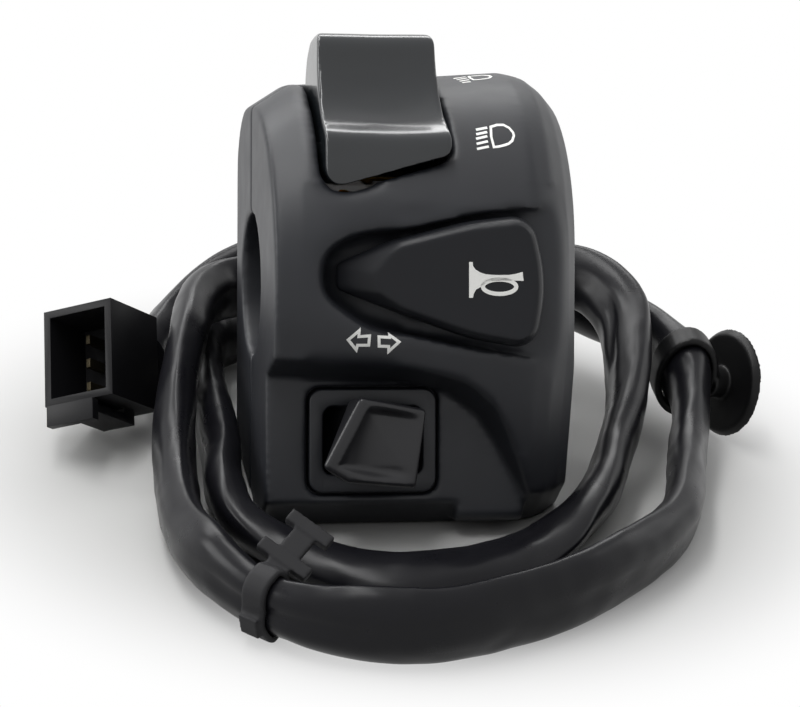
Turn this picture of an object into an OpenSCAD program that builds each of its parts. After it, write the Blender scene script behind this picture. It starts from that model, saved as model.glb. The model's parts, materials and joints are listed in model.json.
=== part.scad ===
// Left-hand handlebar switch cluster standing on its foot, with its harness looped round it.
// Millimetres. Origin on the handlebar axis at mid width, +X along the bar, +Y to the rear, +Z up.
// The housing and its switches are drawn upright about the bar and then leaned back.

/* [Handlebar and stance] */
// Diameter of the handlebar that the two halves clamp
bar_d = 22.2; // [21.8:0.1:22.8]
// Angle the housing leans back when it stands on its foot
lean = 20; // [18:1:22]
// Height of the handlebar axis over the surface
stand_h = 31; // [30.5:0.5:33]

/* [Housing] */
// Width along the handlebar
housing_w = 48.4; // [47.6:0.4:53.2]
// Radius of the barrel in front of and over the handlebar
barrel_r = 30.5; // [30:0.5:33]
// Reach of the rear half behind the handlebar axis
rear_reach = 20.4; // [20:0.2:23]
// Wall thickness of both halves
wall = 2.2; // [1.8:0.1:2.4]
// Thickness of the saddle that holds the handlebar
saddle_t = 2.4; // [1.8:0.1:2.6]
// Gap between the halves at the parting line
parting_gap = 0.3; // [0.2:0.1:0.6]
// Diameter of the two housing screws
screw_d = 4; // [3.5:0.5:4.5]

/* [Dimmer rocker] */
// Width of the rocker along the bar
dimmer_w = 19.6; // [18:0.2:20]
// Travel of the rocker between its two positions, in degrees
dimmer_travel = 12; // [8:1:12]
// Slope of the rocker's lower edge, in degrees
dimmer_slope = 15.4; // [10:0.2:16]
// Diameter of the rocker's pivot pin
dimmer_pin_d = 2.6; // [2:0.1:3]

/* [Horn button] */
// Height of the button over the floor of its pocket
horn_h = 6.2; // [5.5:0.1:7]
// Travel of the button
horn_travel = 1.8; // [1.2:0.1:2]
// Turn of the pocket toward the rider's thumb, in degrees
horn_turn = 7.5; // [6:0.5:8]

/* [Turn signal] */
// Width of the bezel
bezel_w = 19.6; // [19:0.1:20.2]
// Height of the bezel
bezel_h = 15.8; // [15.2:0.1:16]
// Swing of the knob to either side, in degrees
turn_swing = 10; // [6:1:10]
// Push travel of the knob that cancels the signal
push_travel = 1.2; // [0.8:0.1:1.3]
// Diameter of the turn pivot pin
turn_pin_d = 3; // [2.4:0.1:3.4]

/* [Harness] */
// Width of the flattened sleeve, stood on edge
sleeve_h = 11.4; // [10:0.2:11.6]
// Thickness of the flattened sleeve
sleeve_t = 7; // [6:0.5:7.2]
// Length of the grommet outside the housing
grommet_l = 6; // [5:0.5:7]
// Diameter of the push-mount disc
disc_d = 18.4; // [16:0.2:18.6]

/* [Connector] */
// Width of the connector shroud
shroud_w = 13; // [12.6:0.1:13.6]
// Height of the connector shroud
shroud_h = 16; // [15.5:0.1:16.4]
// Length of the connector shroud
shroud_l = 13.5; // [12.5:0.5:14]
// Wall of the shroud
shroud_wall = 1.2; // [1:0.1:1.4]

/* [Hidden] */
$fn = 48;
// Running clearance between moving pieces, and radial clearance on a pivot pin
slack = 0.35;
pin_slack = 0.05;
// Small overlap for cuts that pass a face
cut = 0.5;

bore_r = bar_d / 2;
saddle_r = bore_r + saddle_t;
// Centre of the barrel's arc, slightly above and behind the handlebar axis
barrel_y = 2;
barrel_z = 1;
front_y = barrel_y - barrel_r;
top_z = barrel_z + barrel_r;
left_x = -housing_w / 2;
right_x = housing_w / 2;

// Height of the standing surface under a point y of the upright housing
function ground(y) = (-stand_h + y * sin(lean)) / cos(lean);
// Upright housing point to the leaned frame
function leaned_pt(p) = [p[0], p[1] * cos(lean) + p[2] * sin(lean), p[2] * cos(lean) - p[1] * sin(lean)];

// Side outline of both halves as corners [y, z, radius], running down the front and up the rear
chin_y = -20.3;
chin_z = -31.7;
foot_y = -11;
lip_x = [5.4, 16];
outline = [
    [front_y, top_z, barrel_r],
    [front_y, -4, 18],
    [chin_y, chin_z, 1.2],
    [foot_y, ground(foot_y), 2],
    [rear_reach, ground(rear_reach), 6],
    [rear_reach, top_z, 14]];
// Chamfer of each edge at the two ends, and the rise of the barrel toward the right end.
// Edges in order: front, lower front, chin, foot, rear, top
left_chamfer = [0, 0, 0, 0, 2.6, 3.7];
right_rise = [0, 0, 0, 0, 0, -2.4];
right_chamfer = [11.5, 8.5, 5, 0, 3, 2.2];
straight = [0, 0, 0, 0, 0, 0];
left_run = 5.7;
right_run = 8.5;

// Recess of the turn signal: outer and inner edge as [x, z] and the plane of its panel
panel_y = front_y + 10.5;
recess_outer = [
    [left_x - 16, -8], [left_x + 1, -8.2], [-8, -8.9], [0, -10], [7.4, -11.9], [12.8, -15], [16, -19.4],
    [19, -30]];
recess_inner = [
    [left_x - 16, -13.4], [left_x + 1, -13.4], [-4, -14.4], [3.4, -16], [8.4, -19.6], [11, -23.4],
    [17, -34.5]];
panel_wall = 2;

// Dimmer pivot in the side view, its middle along the bar and the clearance round the rocker
dimmer_x = -6.5;
dimmer_a = 59;
dimmer_reach = saddle_r + 9.8;
dimmer_py = barrel_y - dimmer_reach * cos(dimmer_a);
dimmer_pz = barrel_z + dimmer_reach * sin(dimmer_a);
dimmer_dir = atan2(dimmer_pz, dimmer_py);
dimmer_r = norm([dimmer_py, dimmer_pz]);
dimmer_gap = 0.55;
ear_t = 3;
ear_gap = dimmer_gap + 0.4;
dimmer_pin_l = dimmer_w + 2 * (ear_gap + ear_t);
hub_r = 3.8;
pad_r = saddle_r + 0.7;
dimmer_base_t = 2.6;

// Horn pocket frame: place of its middle and sizes below the pocket floor, stacked up from the saddle
horn_x = 3;
horn_z = 0.8;
floor_t = 1.8;
flange_t = 1.4;
horn_stem = [13, 9];
horn_flange = [15.6, 11.4];
horn_back = -floor_t - flange_t - horn_travel - 1.2;
horn_base_t = 1.8;
horn_boss_x = [-10.6, 12.4];
horn_y = -(saddle_r + 2 + horn_base_t - horn_back);

// Turn signal frame: middle of the bezel, pivot depth and sizes along the push direction
turn_x = left_x + 16.5;
turn_z = -23.5;
bezel_proud = 0.3;
bezel_flange = 1.3;
turn_pivot = -10.5;
turn_hub_r = 3.4;
turn_half = bezel_h / 2 - 0.6;
plate_t = 1.5;
base_back = turn_pivot - turn_hub_r - 2.2;
slot = [15.4, 10.6];
post = [7.2, 8.6];
post_top = 1.7;
stem = [4.4, 6];
knob_seat = post_top + push_travel + 0.5;

// Housing screw places [x, z] and sizes
screw_at = [[14.5, 21.5], [left_x + 4.6, -20]];
screw_boss = screw_d / 2 + 1.6;
head_r = screw_d * 0.82;
head_t = 3;
head_y = 11;
screw_end = -10.5;

// Harness exit in the rear wall
exit_x = 12;
exit_z = -15.4;
neck_r = sleeve_h / 2 + 0.9;
exit_pt = leaned_pt([exit_x, rear_reach + grommet_l, exit_z]);

// Harness route: lying height, height of one layer, place of the strand beside the housing
lie_z = -stand_h + sleeve_h / 2 + 0.05;
layer = sleeve_h + 0.6;
side_x = left_x - sleeve_t / 2 - 0.7;
spread = side_x / -28.2;
turn_r = (exit_x - side_x) / 2;
turn_c = [(exit_x + side_x) / 2, 25];
// The rest of the route as [x, y, share of a layer above lying, lean of the section outward]
lay = [
    [-28.2, 13, 0], [-28.2, 0, 0], [-28.6, -11.5, 0], [-29.4, -22.5, 0, 10], [-26.6, -33.8, 0, 48],
    [-17.6, -43, 0, 85], [-7, -48.4, 0, 90], [5, -46.6, 0, 90], [15.6, -40.6, 0, 75], [23.2, -32.6, 0, 45],
    [29, -24.2, 0.02, 20], [33.4, -14, 0.16, 8], [37.6, -4, 0.46, 14], [40, 6.6, 0.84, 26], [41, 17.4, 1.16, 36],
    [37.6, 27, 1.28, 20], [30, 33, 1.2], [19, 34.6, 1.08], [6, 34.2, 1.02],
    [-6, 34.2, 1], [-16.5, 34, 1], [-25, 31, 1], [-29.6, 23, 1], [-32, 12.4, 0.92], [-34.6, 1.2, 0.64],
    [-36.2, -11, 0.28], [-37, -23, 0.05], [-36.8, -36, 0], [-33.8, -49.4, 0.1], [-27.6, -60.2, 0.22],
    [-18.2, -66.6, 0.08], [-6, -68.4, 0], [6.4, -64.2, 0], [18.6, -57, 0], [29.4, -47.2, 0],
    [37.9, -36.4, 0], [42.3, -25.2, 0], [45.6, -13.8, 0.04], [49, -2.4, 0.26], [50.6, 9, 0.5],
    [48.2, 20.4, 0.62], [43, 31.2, 0.6], [36, 40.8, 0.62], [27, 47.2, 0.72], [16, 50, 0.86],
    [5, 50.4, 0.95], [-6, 50.4, 0.94], [-15.8, 49.8, 0.76], [-24.8, 47.4, 0.42],
    [-31.4, 42, 0.1], [-35.2, 34.6, 0.02], [-37.2, 27.6, 0.02]];
function lean_of(p) = len(p) > 3 ? p[3] : 0;
function half_up(w) = norm([sleeve_h / 2 * cos(w), sleeve_t / 2 * sin(w)]);
function route_pt(p) = [p[0] * spread, p[1], -stand_h + half_up(lean_of(p)) + 0.05 + p[2] * layer];
exit_dir = [0, cos(lean), -sin(lean)];
route = concat(
    [exit_pt - exit_dir * (grommet_l + wall + 3), exit_pt - exit_dir * 3, exit_pt,
     [exit_x, exit_pt[1] + 5, lie_z + 0.3]],
    [for (i = [1 : 7]) let (a = i * 22.5)
        [turn_c[0] + turn_r * cos(a), turn_c[1] + turn_r * sin(a), lie_z]],
    [for (p = lay) route_pt(p)]);
route_lean = concat([for (i = [1 : len(route) - len(lay)]) 0], [for (p = lay) lean_of(p)]);
strap_at = 40;
clip_at = 50;
sleeve_sides = 12;

// Connector place, its turn, tilt and roll, and the latch below it
conn_turn = 224;
conn_tilt = 30;
conn_roll = 27;
mouth = 10;
pin_back = 5.8;
latch_drop = 3.2;
latch_w = 6;
pin_rows = 3;
pin_cols = 2;
pin_pitch = 4;
wire_d = 1.5;
conn_mid = [-50.4, 8.6, -stand_h + 15.8];

// Finishes
plastic = [0.17, 0.17, 0.19];
gloss = [0.22, 0.23, 0.24];
inner = [0.55, 0.5, 0.42];
brass = [0.8, 0.62, 0.3];
steel = [0.7, 0.7, 0.72];
rubber = [0.12, 0.12, 0.12];

// Unit vector and flat part of a point
function unit(v) = v / norm(v);
function xy(p) = [p[0], p[1]];
// Corners moved inward, each edge i (from corner i to the next) by its own distance d[i]
function inset(c, d) = let (n = len(c)) [for (i = [0 : n - 1])
    let (e0 = unit(xy(c[i]) - xy(c[(i + n - 1) % n])), e1 = unit(xy(c[(i + 1) % n]) - xy(c[i])),
         k = e0[0] * e1[1] - e0[1] * e1[0], d0 = d[(i + n - 1) % n], d1 = d[i],
         q = xy(c[i]) + (e1 * d0 - e0 * d1) / k)
    [q[0], q[1], max(c[i][2] - (d0 + d1) / 2, 0.3)]];
// Corners [x, y, radius] to the points of the rounded polygon
function rounded(c, m = 8) = let (n = len(c)) [for (i = [0 : n - 1])
    let (p = xy(c[i]), u = unit(xy(c[(i + n - 1) % n]) - p), v = unit(xy(c[(i + 1) % n]) - p),
         half = acos(u * v) / 2, mid = p + unit(u + v) * c[i][2] / sin(half),
         s0 = p + u * c[i][2] / tan(half) - mid, s1 = p + v * c[i][2] / tan(half) - mid,
         a0 = atan2(s0[1], s0[0]), a1 = atan2(s1[1], s1[0]),
         da = (a1 - a0 + 540) % 360 - 180)
    for (j = [0 : m]) mid + c[i][2] * [cos(a0 + da * j / m), sin(a0 + da * j / m)]];
function oval(a, b, n) = [for (i = [0 : n - 1]) [a * cos(360 * i / n), b * sin(360 * i / n)]];
function box_corners(w, h, r) = [
    for (q = [[1, 1], [-1, 1], [-1, -1], [1, -1]]) [q[0] * w / 2, q[1] * h / 2, r]];

// Closed skin through rings that all have the same number of points
module skin(rings) {
    n = len(rings[0]);
    m = len(rings);
    polyhedron(
        points = [for (r = rings) each r],
        faces = concat(
            [for (i = [0 : m - 2], j = [0 : n - 1])
                [i * n + j, (i + 1) * n + j, (i + 1) * n + (j + 1) % n]],
            [for (i = [0 : m - 2], j = [0 : n - 1])
                [i * n + j, (i + 1) * n + (j + 1) % n, i * n + (j + 1) % n]],
            [for (j = [1 : n - 2]) [0, j, j + 1]],
            [for (j = [1 : n - 2]) [(m - 1) * n, (m - 1) * n + j + 1, (m - 1) * n + j]]),
        convexity = 6);
}

// Tube of an upright oval section swept along points, leaned to the right of its run by w[i] degrees
function tube_rings(p, a, b, n, w = []) = let (m = len(p)) [for (i = [0 : m - 1])
    let (t = unit(p[min(i + 1, m - 1)] - p[max(i - 1, 0)]), s = unit(cross([0, 0, 1], t)), u = cross(t, s),
         k = len(w) > 0 ? w[i] : 0, e = s * cos(k) + u * sin(k), f = u * cos(k) - s * sin(k))
    [for (q = oval(a, b, n)) p[i] + q[0] * e + q[1] * f]];

module leaned() rotate([-lean, 0, 0]) children();
// Extrusion along the bar of a side-view shape, from x0 to x1
module along_bar(x0, x1) translate([x0, 0, 0]) rotate([90, 0, 90]) linear_extrude(x1 - x0) children();
// Extrusion from front to rear of a front-view shape, from y0 to y1
module from_front(y0, y1) translate([0, y1, 0]) rotate([90, 0, 0]) linear_extrude(y1 - y0) children();
// Frames of the switches: local x along the bar, y up, z out of the front
module at_horn() translate([horn_x, horn_y, horn_z]) rotate([0, 0, -horn_turn]) rotate([90, 0, 0])
    children();
module at_turn() translate([turn_x, panel_y, turn_z]) rotate([90, 0, 0]) children();
module at_dimmer() translate([dimmer_x, dimmer_py, dimmer_pz]) children();
// Frame on the saddle under the dimmer pivot: local z runs outward from the bar axis
module on_saddle() translate([dimmer_x, 0, 0]) rotate([dimmer_dir - 90, 0, 0]) children();
module slab(c, z0, z1) translate([0, 0, z0]) linear_extrude(z1 - z0) polygon(rounded(c));

function end_ring(x, d) = [for (p = rounded(inset(outline, d))) [x, p[0], p[1]]];
// Edge distances between two lists, share k of the way, plus a wall w
function mix(a, b, k, w) = [for (i = [0 : len(a) - 1]) a[i] * (1 - k) + b[i] * k + w];

// Outside of both halves, chamfered at the ends
module shell_solid() skin([
    end_ring(left_x, left_chamfer),
    end_ring(left_x + left_run, straight),
    end_ring(right_x - right_run, right_rise),
    end_ring(right_x - right_run * 0.62, mix(right_rise, right_chamfer, 0.14, 0)),
    end_ring(right_x - right_run * 0.3, mix(right_rise, right_chamfer, 0.5, 0)),
    end_ring(right_x, right_chamfer)]);
// Hollow inside both halves
module shell_hollow() skin([
    end_ring(left_x + wall, mix(straight, left_chamfer, 0.6, wall)),
    end_ring(left_x + left_run, mix(straight, straight, 0, wall)),
    end_ring(right_x - right_run * 0.9, mix(right_rise, right_chamfer, 0, wall)),
    end_ring(right_x - right_run * 0.4, mix(right_rise, right_chamfer, 0.4, wall)),
    end_ring(right_x - wall, mix(right_rise, right_chamfer, 0.75, wall))]);

module bore() rotate([0, 90, 0]) cylinder(r = bore_r, h = housing_w + 4, center = true, $fn = 96);
module saddle() rotate([0, 90, 0]) cylinder(r = saddle_r, h = housing_w - 1, center = true, $fn = 96);
module front_side() translate([-100, -100 - parting_gap / 2, -100]) cube([200, 100, 200]);
module rear_side() translate([-100, parting_gap / 2, -100]) cube([200, 100, 200]);

// Wedge that the recess removes, from beyond the front to the panel, grown by g
function recess_pts(e, g) = [for (p = concat(e, [[19, -60], [left_x - 16, -60]]))
    [p[0] + g * 0.8, p[1] + g]];
module recess(g, y1) hull() {
    from_front(front_y - 6.1, front_y - 6) polygon(recess_pts(recess_outer, g));
    from_front(y1 - 0.1, y1) polygon(recess_pts(recess_inner, g));
}

// Teardrop pocket round the horn button, grown by g
module horn_pocket(g, z0) slab([
    [34, 11 + g, 1], [13, 11.2 + g, 3], [-13.2, 8.9 + g, 9], [-19.3 - g, 4, 3.2 + g],
    [-19.3 - g, -1.8, 3.2 + g], [-12.6, -6.6 - g, 9], [13, -11.6 - g, 3], [34, -11.2 - g, 1]], z0, 30);

// Front view of the rocker about its pivot, as corners [x, z, radius]
rocker_low = -6.3;
rocker_high = 18.6;
rocker_front = [
    [-dimmer_w / 2, rocker_low, 2.4], [dimmer_w / 2, rocker_low + dimmer_w * tan(dimmer_slope), 2],
    [dimmer_w / 2 - 0.8, rocker_high, 2], [-dimmer_w / 2 + 0.6, rocker_high, 2]];
// Opening for the rocker in the barrel, cut from the front into the rear half
module dimmer_window() difference() {
    at_dimmer() from_front(-40, barrel_y + 1 - dimmer_py)
        polygon(rounded(inset(rocker_front, [-dimmer_gap - 0.45, -dimmer_gap, -6, -dimmer_gap])));
    translate([0, barrel_y, barrel_z]) rotate([0, 90, 0])
        cylinder(r = barrel_r - wall - 1, h = 100, center = true);
}

module screw_posts(y0, y1, r) for (s = screw_at) translate([s[0], y0, s[1]]) rotate([-90, 0, 0])
    cylinder(r = r, h = y1 - y0);

// Lip under the right cheek, lower than the panel's edge
module chin_lip() along_bar(lip_x[0], lip_x[1])
    polygon([[chin_y, chin_z + 1], [chin_y + 0.2, chin_z - 3.2], [-16, chin_z - 4.6], [-13, chin_z - 4.4],
        [-13, chin_z]]);

// What the front half holds inside its outline: walls, saddle, pocket, ears and posts
module front_inside() {
    difference() { front_side(); shell_hollow(); }
    saddle();
    recess(wall, panel_y + panel_wall);
    at_horn() horn_pocket(wall - 0.4, -floor_t);
    at_horn() for (x = horn_boss_x) translate([x, 0, horn_back]) cylinder(r = 2, h = -horn_back);
    on_saddle() translate([-7.5, -5.5, saddle_r - 1.4]) cube([15, 11, pad_r - saddle_r + 1.4]);
    for (s = [-1, 1]) on_saddle() translate([s * (dimmer_w / 2 + ear_gap + ear_t / 2), 0, 0]) {
        translate([-ear_t / 2, -4, saddle_r - 1.4]) cube([ear_t, 8, dimmer_r - saddle_r + 1.4]);
        translate([0, 0, dimmer_r]) rotate([0, 90, 0]) cylinder(r = 4, h = ear_t, center = true);
    }
    screw_posts(screw_end - 2, -parting_gap / 2, screw_boss);
    translate([screw_at[0][0], -22, screw_at[0][1]]) rotate([-90, 0, 0]) cylinder(r = screw_boss, h = 12);
}

module front_housing() color(plastic) leaned() difference() {
    union() {
        intersection() {
            front_side();
            shell_solid();
            front_inside();
        }
        chin_lip();
    }
    bore();
    recess(0, panel_y);
    at_horn() horn_pocket(0, 0);
    at_horn() slab(box_corners(horn_stem[0] + 2 * slack, horn_stem[1] + 2 * slack, 2), -floor_t - cut, 1);
    at_horn() for (x = horn_boss_x) translate([x, 0, horn_back - 1]) cylinder(d = 1.7, h = 4.4);
    dimmer_window();
    at_dimmer() rotate([0, 90, 0])
        cylinder(d = dimmer_pin_d + 2 * pin_slack, h = dimmer_pin_l + cut, center = true);
    at_turn() slab(box_corners(bezel_w + 2 * slack, bezel_h + 2 * slack, 2), -panel_wall - 3, 4);
    at_turn() slab(box_corners(bezel_w + 3.4, bezel_h + 2, 1), -panel_wall - 5, -panel_wall);
    screw_posts(screw_end - 0.5, 1, screw_d / 2 + pin_slack);
}

module rear_housing() color(plastic) leaned() difference() {
    intersection() {
        rear_side();
        shell_solid();
        union() {
            difference() { rear_side(); shell_hollow(); }
            saddle();
            screw_posts(parting_gap / 2, rear_reach, screw_boss);
            screw_posts(head_y - 2, rear_reach, head_r + slack + 1.3);
        }
    }
    bore();
    dimmer_window();
    screw_posts(-1, rear_reach, screw_d / 2 + 0.3);
    screw_posts(head_y, rear_reach + 4, head_r + slack);
    translate([exit_x, rear_reach - wall - 4, exit_z]) rotate([-90, 0, 0])
        cylinder(r = neck_r + pin_slack, h = 12);
}

module housing_screws() color(steel) leaned() for (s = screw_at)
    translate([s[0], 0, s[1]]) rotate([-90, 0, 0]) difference() {
        union() {
            translate([0, 0, screw_end]) cylinder(d = screw_d, h = head_y - screw_end + 0.2);
            translate([0, 0, head_y]) cylinder(r = head_r, h = head_t);
        }
        for (a = [0, 90]) rotate([0, 0, a]) translate([-head_r * 0.6, -0.5, head_y + head_t - 1.4])
            cube([head_r * 1.2, 1, 3]);
    }

module at_exit() translate([exit_x, rear_reach, exit_z]) rotate([-90, 0, 0]) children();
module grommet() color(rubber) leaned() at_exit() difference() {
    union() {
        translate([0, 0, -wall - 2.8]) cylinder(r = neck_r + 1, h = 1.5);
        translate([0, 0, -wall - 1.4]) cylinder(r = neck_r, h = wall + 1.6);
        translate([0, 0, 0.1]) cylinder(r1 = neck_r + 1.2, r2 = neck_r - 0.1, h = grommet_l - 0.1);
    }
    translate([0, 0, -wall - 3]) linear_extrude(grommet_l + 8)
        polygon(oval(sleeve_t / 2 + pin_slack, sleeve_h / 2 + pin_slack, 36));
}

// Route of one inner wire from upright housing points
module inner_wire(p) skin(tube_rings([for (q = p) leaned_pt(q)], wire_d / 2, wire_d / 2, 8));
module inner_wires() color(rubber) {
    y0 = rear_reach - wall - 3;
    inner_wire([[exit_x - 1.2, y0, exit_z + 2.4], [exit_x - 1.2, y0 - 3, exit_z + 2.4], [10.4, 8, -16],
        [7, 2, -18.6], [4.2, -4, -19.6], [2.4, panel_y + 5.2, -20]]);
    inner_wire([[exit_x + 1.2, y0, exit_z + 2.4], [exit_x + 1.2, y0 - 3, exit_z + 2.4], [14.6, 6, -16],
        [16, -4, -17], [16.4, -10, -13], [15.4, -14, -8.6], [13.4, -15, -6.4]]);
    inner_wire([[exit_x, y0, exit_z - 1.2], [exit_x, y0 - 3, exit_z - 1.2], [exit_x + 4, 6, -19.6],
        [18.6, -4, -19], [19, -12, -12], [19, -15.6, 0], [17.4, -13, 9], [11, -12, 11.6],
        [0.8, -11.7, 11.5]]);
}

// Side view of the rocker about its pivot: thumb saddle between a low ridge and a high lip
ridge = [-14.6, 2.2];
lip = [-3.6, 16.6];
function sag_pts(p, q, s, n) = [for (i = [1 : n - 1]) let (t = i / n, d = unit(q - p))
    p + (q - p) * t + [d[1], -d[0]] * 4 * s * t * (1 - t)];
rocker_side = concat(
    [[-13, -9], [-15.7, -5], ridge], sag_pts(ridge, lip, 2.9, 9),
    [lip, [-2.6, 17.9], [0, 18.3], [4.4, 17.2], [7.6, 14.8], [8.8, 11.4], [8.8, 5.6], [6, 3.4],
     [2.4, -2.9], [-2.4, -2.9], [-9, -6.4]]);
module dimmer_rocker() color(gloss) leaned() {
    at_dimmer() difference() {
        union() {
            intersection() {
                along_bar(-dimmer_w, dimmer_w) polygon(rocker_side);
                from_front(-40, 40) polygon(rounded(rocker_front));
            }
            rotate([0, 90, 0]) cylinder(r = hub_r, h = dimmer_w, center = true);
        }
        rotate([0, 90, 0]) cylinder(d = dimmer_pin_d + 2 * pin_slack, h = dimmer_w + 2, center = true);
    }
    // Seat of the contact bridge under the hub
    on_saddle() translate([-6.5, -2.2, dimmer_r - hub_r]) cube([13, 4.4, hub_r - dimmer_pin_d / 2 - 0.6]);
}
module dimmer_pin() color(steel) leaned() at_dimmer() rotate([0, 90, 0])
    cylinder(d = dimmer_pin_d, h = dimmer_pin_l, center = true);
module dimmer_base() color(inner) leaned() on_saddle()
    translate([-7, -5, pad_r]) cube([14, 10, dimmer_base_t]);
module dimmer_contacts() color(brass) leaned() on_saddle() for (x = [-4.5, 0, 4.5], y = [-2.6, 2.6])
    translate([x, y, pad_r + dimmer_base_t]) cylinder(r = 0.9, h = 0.5, $fn = 24);
module dimmer_bridge() color(brass) leaned() on_saddle() translate([-5.5, -2, dimmer_r - hub_r - 0.5])
    cube([11, 4, 0.5]);

// Outline of the horn button's face and of its foot in the pocket
horn_face = [
    [11.9, 10, 2.2], [2.4, 8.9, 20], [-8.6, 6.1, 4], [-12.5, 1.6, 2], [-11.4, -1.8, 2], [-7.4, -4.4, 3],
    [3, -8.1, 20], [12.6, -9.8, 2], [14.2, 0.4, 12]];
horn_foot = [
    [12.2, 10.4, 2.2], [2.4, 9.3, 20], [-9, 6.4, 4], [-17.4, 2.9, 1.2], [-17.4, -1, 1.2], [-7.6, -4.8, 3],
    [3, -8.5, 20], [12.9, -10.2, 2], [14.6, 0.4, 12]];
module horn_button() color(gloss) leaned() at_horn() {
    hull() {
        slab(horn_foot, horn_travel + 0.3, horn_travel + 0.9);
        slab(horn_face, horn_h - 1.2, horn_h - 1);
        slab(inset(horn_face, [for (c = horn_face) 0.8]), horn_h - 0.2, horn_h);
    }
    slab(box_corners(horn_stem[0], horn_stem[1], 2), -floor_t - 0.2, horn_travel + 0.5);
    slab(box_corners(horn_flange[0], horn_flange[1], 1.5), -floor_t - flange_t, -floor_t);
}
module horn_bridge() color(brass) leaned() at_horn()
    slab(box_corners(9, 3, 0.5), -floor_t - flange_t - 0.4, -floor_t - flange_t);
module horn_base() color(inner) leaned() at_horn() difference() {
    translate([(horn_boss_x[0] + horn_boss_x[1]) / 2, 0, 0])
        slab(box_corners(horn_boss_x[1] - horn_boss_x[0] + 6, 9, 1.5), horn_back - horn_base_t, horn_back);
    for (x = horn_boss_x) translate([x, 0, horn_back - horn_base_t - 1]) {
        cylinder(d = 1.8, h = 4);
        cylinder(d = 3.4, h = 1.9);
    }
}
module horn_contacts() color(brass) leaned() at_horn() for (x = [-3.4, 3.4])
    translate([x, 0, horn_back]) cylinder(r = 1, h = 0.5, $fn = 24);
module horn_screws() color(steel) leaned() at_horn() for (x = horn_boss_x)
    translate([x, 0, horn_back - horn_base_t]) {
        cylinder(d = 3.2, h = 0.9);
        cylinder(d = 1.6, h = horn_base_t + 2.6);
    }

module turn_bezel() color(plastic) leaned() at_turn() difference() {
    union() {
        slab(box_corners(bezel_w, bezel_h, 2), -panel_wall - 0.1, bezel_proud);
        slab(box_corners(bezel_w + 2.4, bezel_h + 1.2, 1), -panel_wall - bezel_flange, -panel_wall);
    }
    slab(box_corners(slot[0], slot[1], 1.6), -panel_wall - 3, 3);
}
// Frame on the turn pivot: local z up along the pin
module at_pivot() translate([0, 0, turn_pivot]) rotate([-90, 0, 0]) children();
module turn_base() color(inner) leaned() at_turn() difference() {
    translate([-8, -turn_half, base_back])
        cube([16, 2 * turn_half, -panel_wall - bezel_flange - base_back]);
    translate([-9, -turn_half + plate_t, base_back + plate_t]) cube([18, 2 * (turn_half - plate_t), 30]);
    at_pivot() cylinder(d = turn_pin_d + 2 * pin_slack, h = bezel_h + 2, center = true);
}
carrier_half = turn_half - plate_t - slack;
drum_r = -turn_pivot - panel_wall - bezel_flange - slack;
module turn_carrier() color(plastic) leaned() at_turn() difference() {
    union() {
        at_pivot() cylinder(r = turn_hub_r, h = 2 * carrier_half - 1.6, center = true);
        intersection() {
            at_pivot() difference() {
                cylinder(r = drum_r, h = 2 * carrier_half, center = true);
                cylinder(r = drum_r - 1.4, h = 40, center = true);
            }
            translate([-20, -20, turn_pivot + 0.5]) cube([40, 40, 30]);
        }
        slab(box_corners(post[0], post[1], 0.8), turn_pivot + 1, post_top);
    }
    slab(box_corners(stem[0] + 2 * slack, stem[1] + 2 * slack, 0.5), turn_pivot + 4, post_top + 1);
    at_pivot() cylinder(d = turn_pin_d + 2 * pin_slack, h = 40, center = true);
}
module turn_pin() color(steel) leaned() at_turn() at_pivot()
    cylinder(d = turn_pin_d, h = 2 * turn_half, center = true);
module turn_wiper() color(brass) leaned() at_turn() at_pivot()
    translate([0, 0, carrier_half - 0.8]) difference() {
        cylinder(r = turn_hub_r - 0.2, h = 0.4);
        translate([0, 0, -1]) cylinder(r = turn_pin_d / 2 + 0.3, h = 3);
    }
module turn_contacts() color(brass) leaned() at_turn() for (x = [-4.4, 4.4])
    translate([x, turn_half - plate_t, turn_pivot - 1]) rotate([90, 0, 0])
        cylinder(r = 0.7, h = 0.5, $fn = 24);
// Corners of the knob about the bezel's middle: foot, right edge, tall ridge and its left end
knob_pts = [
    [-3.8, 5.8, 0], [6.1, 4.4, 0], [4.7, -6, 0], [-5.6, -4.8, 0],
    [6.1, 4.7, 3.4], [4.7, -6, 3.4], [-3.3, 6.5, 5.4], [-8.1, -3.1, 4.2], [-4.9, -5, 4.4]];
module turn_knob() color(gloss) leaned() at_turn() {
    hull() for (p = knob_pts) translate([p[0], p[1], knob_seat + 0.7 + p[2]]) sphere(r = 0.7, $fn = 16);
    slab(box_corners(stem[0], stem[1], 0.5), turn_pivot + 4 + push_travel + 0.4, knob_seat + 1);
}

module harness_sleeve() color(rubber)
    skin(tube_rings(route, sleeve_t / 2, sleeve_h / 2, sleeve_sides, route_lean));
// Least clear distance of the sleeve to itself, between points of the route apart along it
route_mid = [for (i = [0 : len(route) - 2], k = [0, 0.5]) route[i] * (1 - k) + route[i + 1] * k];
lean_mid = [for (i = [0 : len(route) - 2], k = [0, 0.5]) route_lean[i] * (1 - k) + route_lean[i + 1] * k];
function reach(h, v, w) = 1 / norm([
    2 * (h * cos(w) + v * sin(w)) / sleeve_t, 2 * (v * cos(w) - h * sin(w)) / sleeve_h]);
function clear(i, j) = let (d = route_mid[i] - route_mid[j], h = norm(xy(d)) / norm(d), v = d[2] / norm(d))
    norm(d) - max(reach(h, v, lean_mid[i]), reach(h, -v, lean_mid[i]))
        - max(reach(h, v, lean_mid[j]), reach(h, -v, lean_mid[j]));
least_gap = min([for (i = [0 : len(route_mid) - 9], j = [i + 8 : len(route_mid) - 1]) clear(i, j)]);
echo(str("least gap of the sleeve to itself: ", least_gap));
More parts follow.
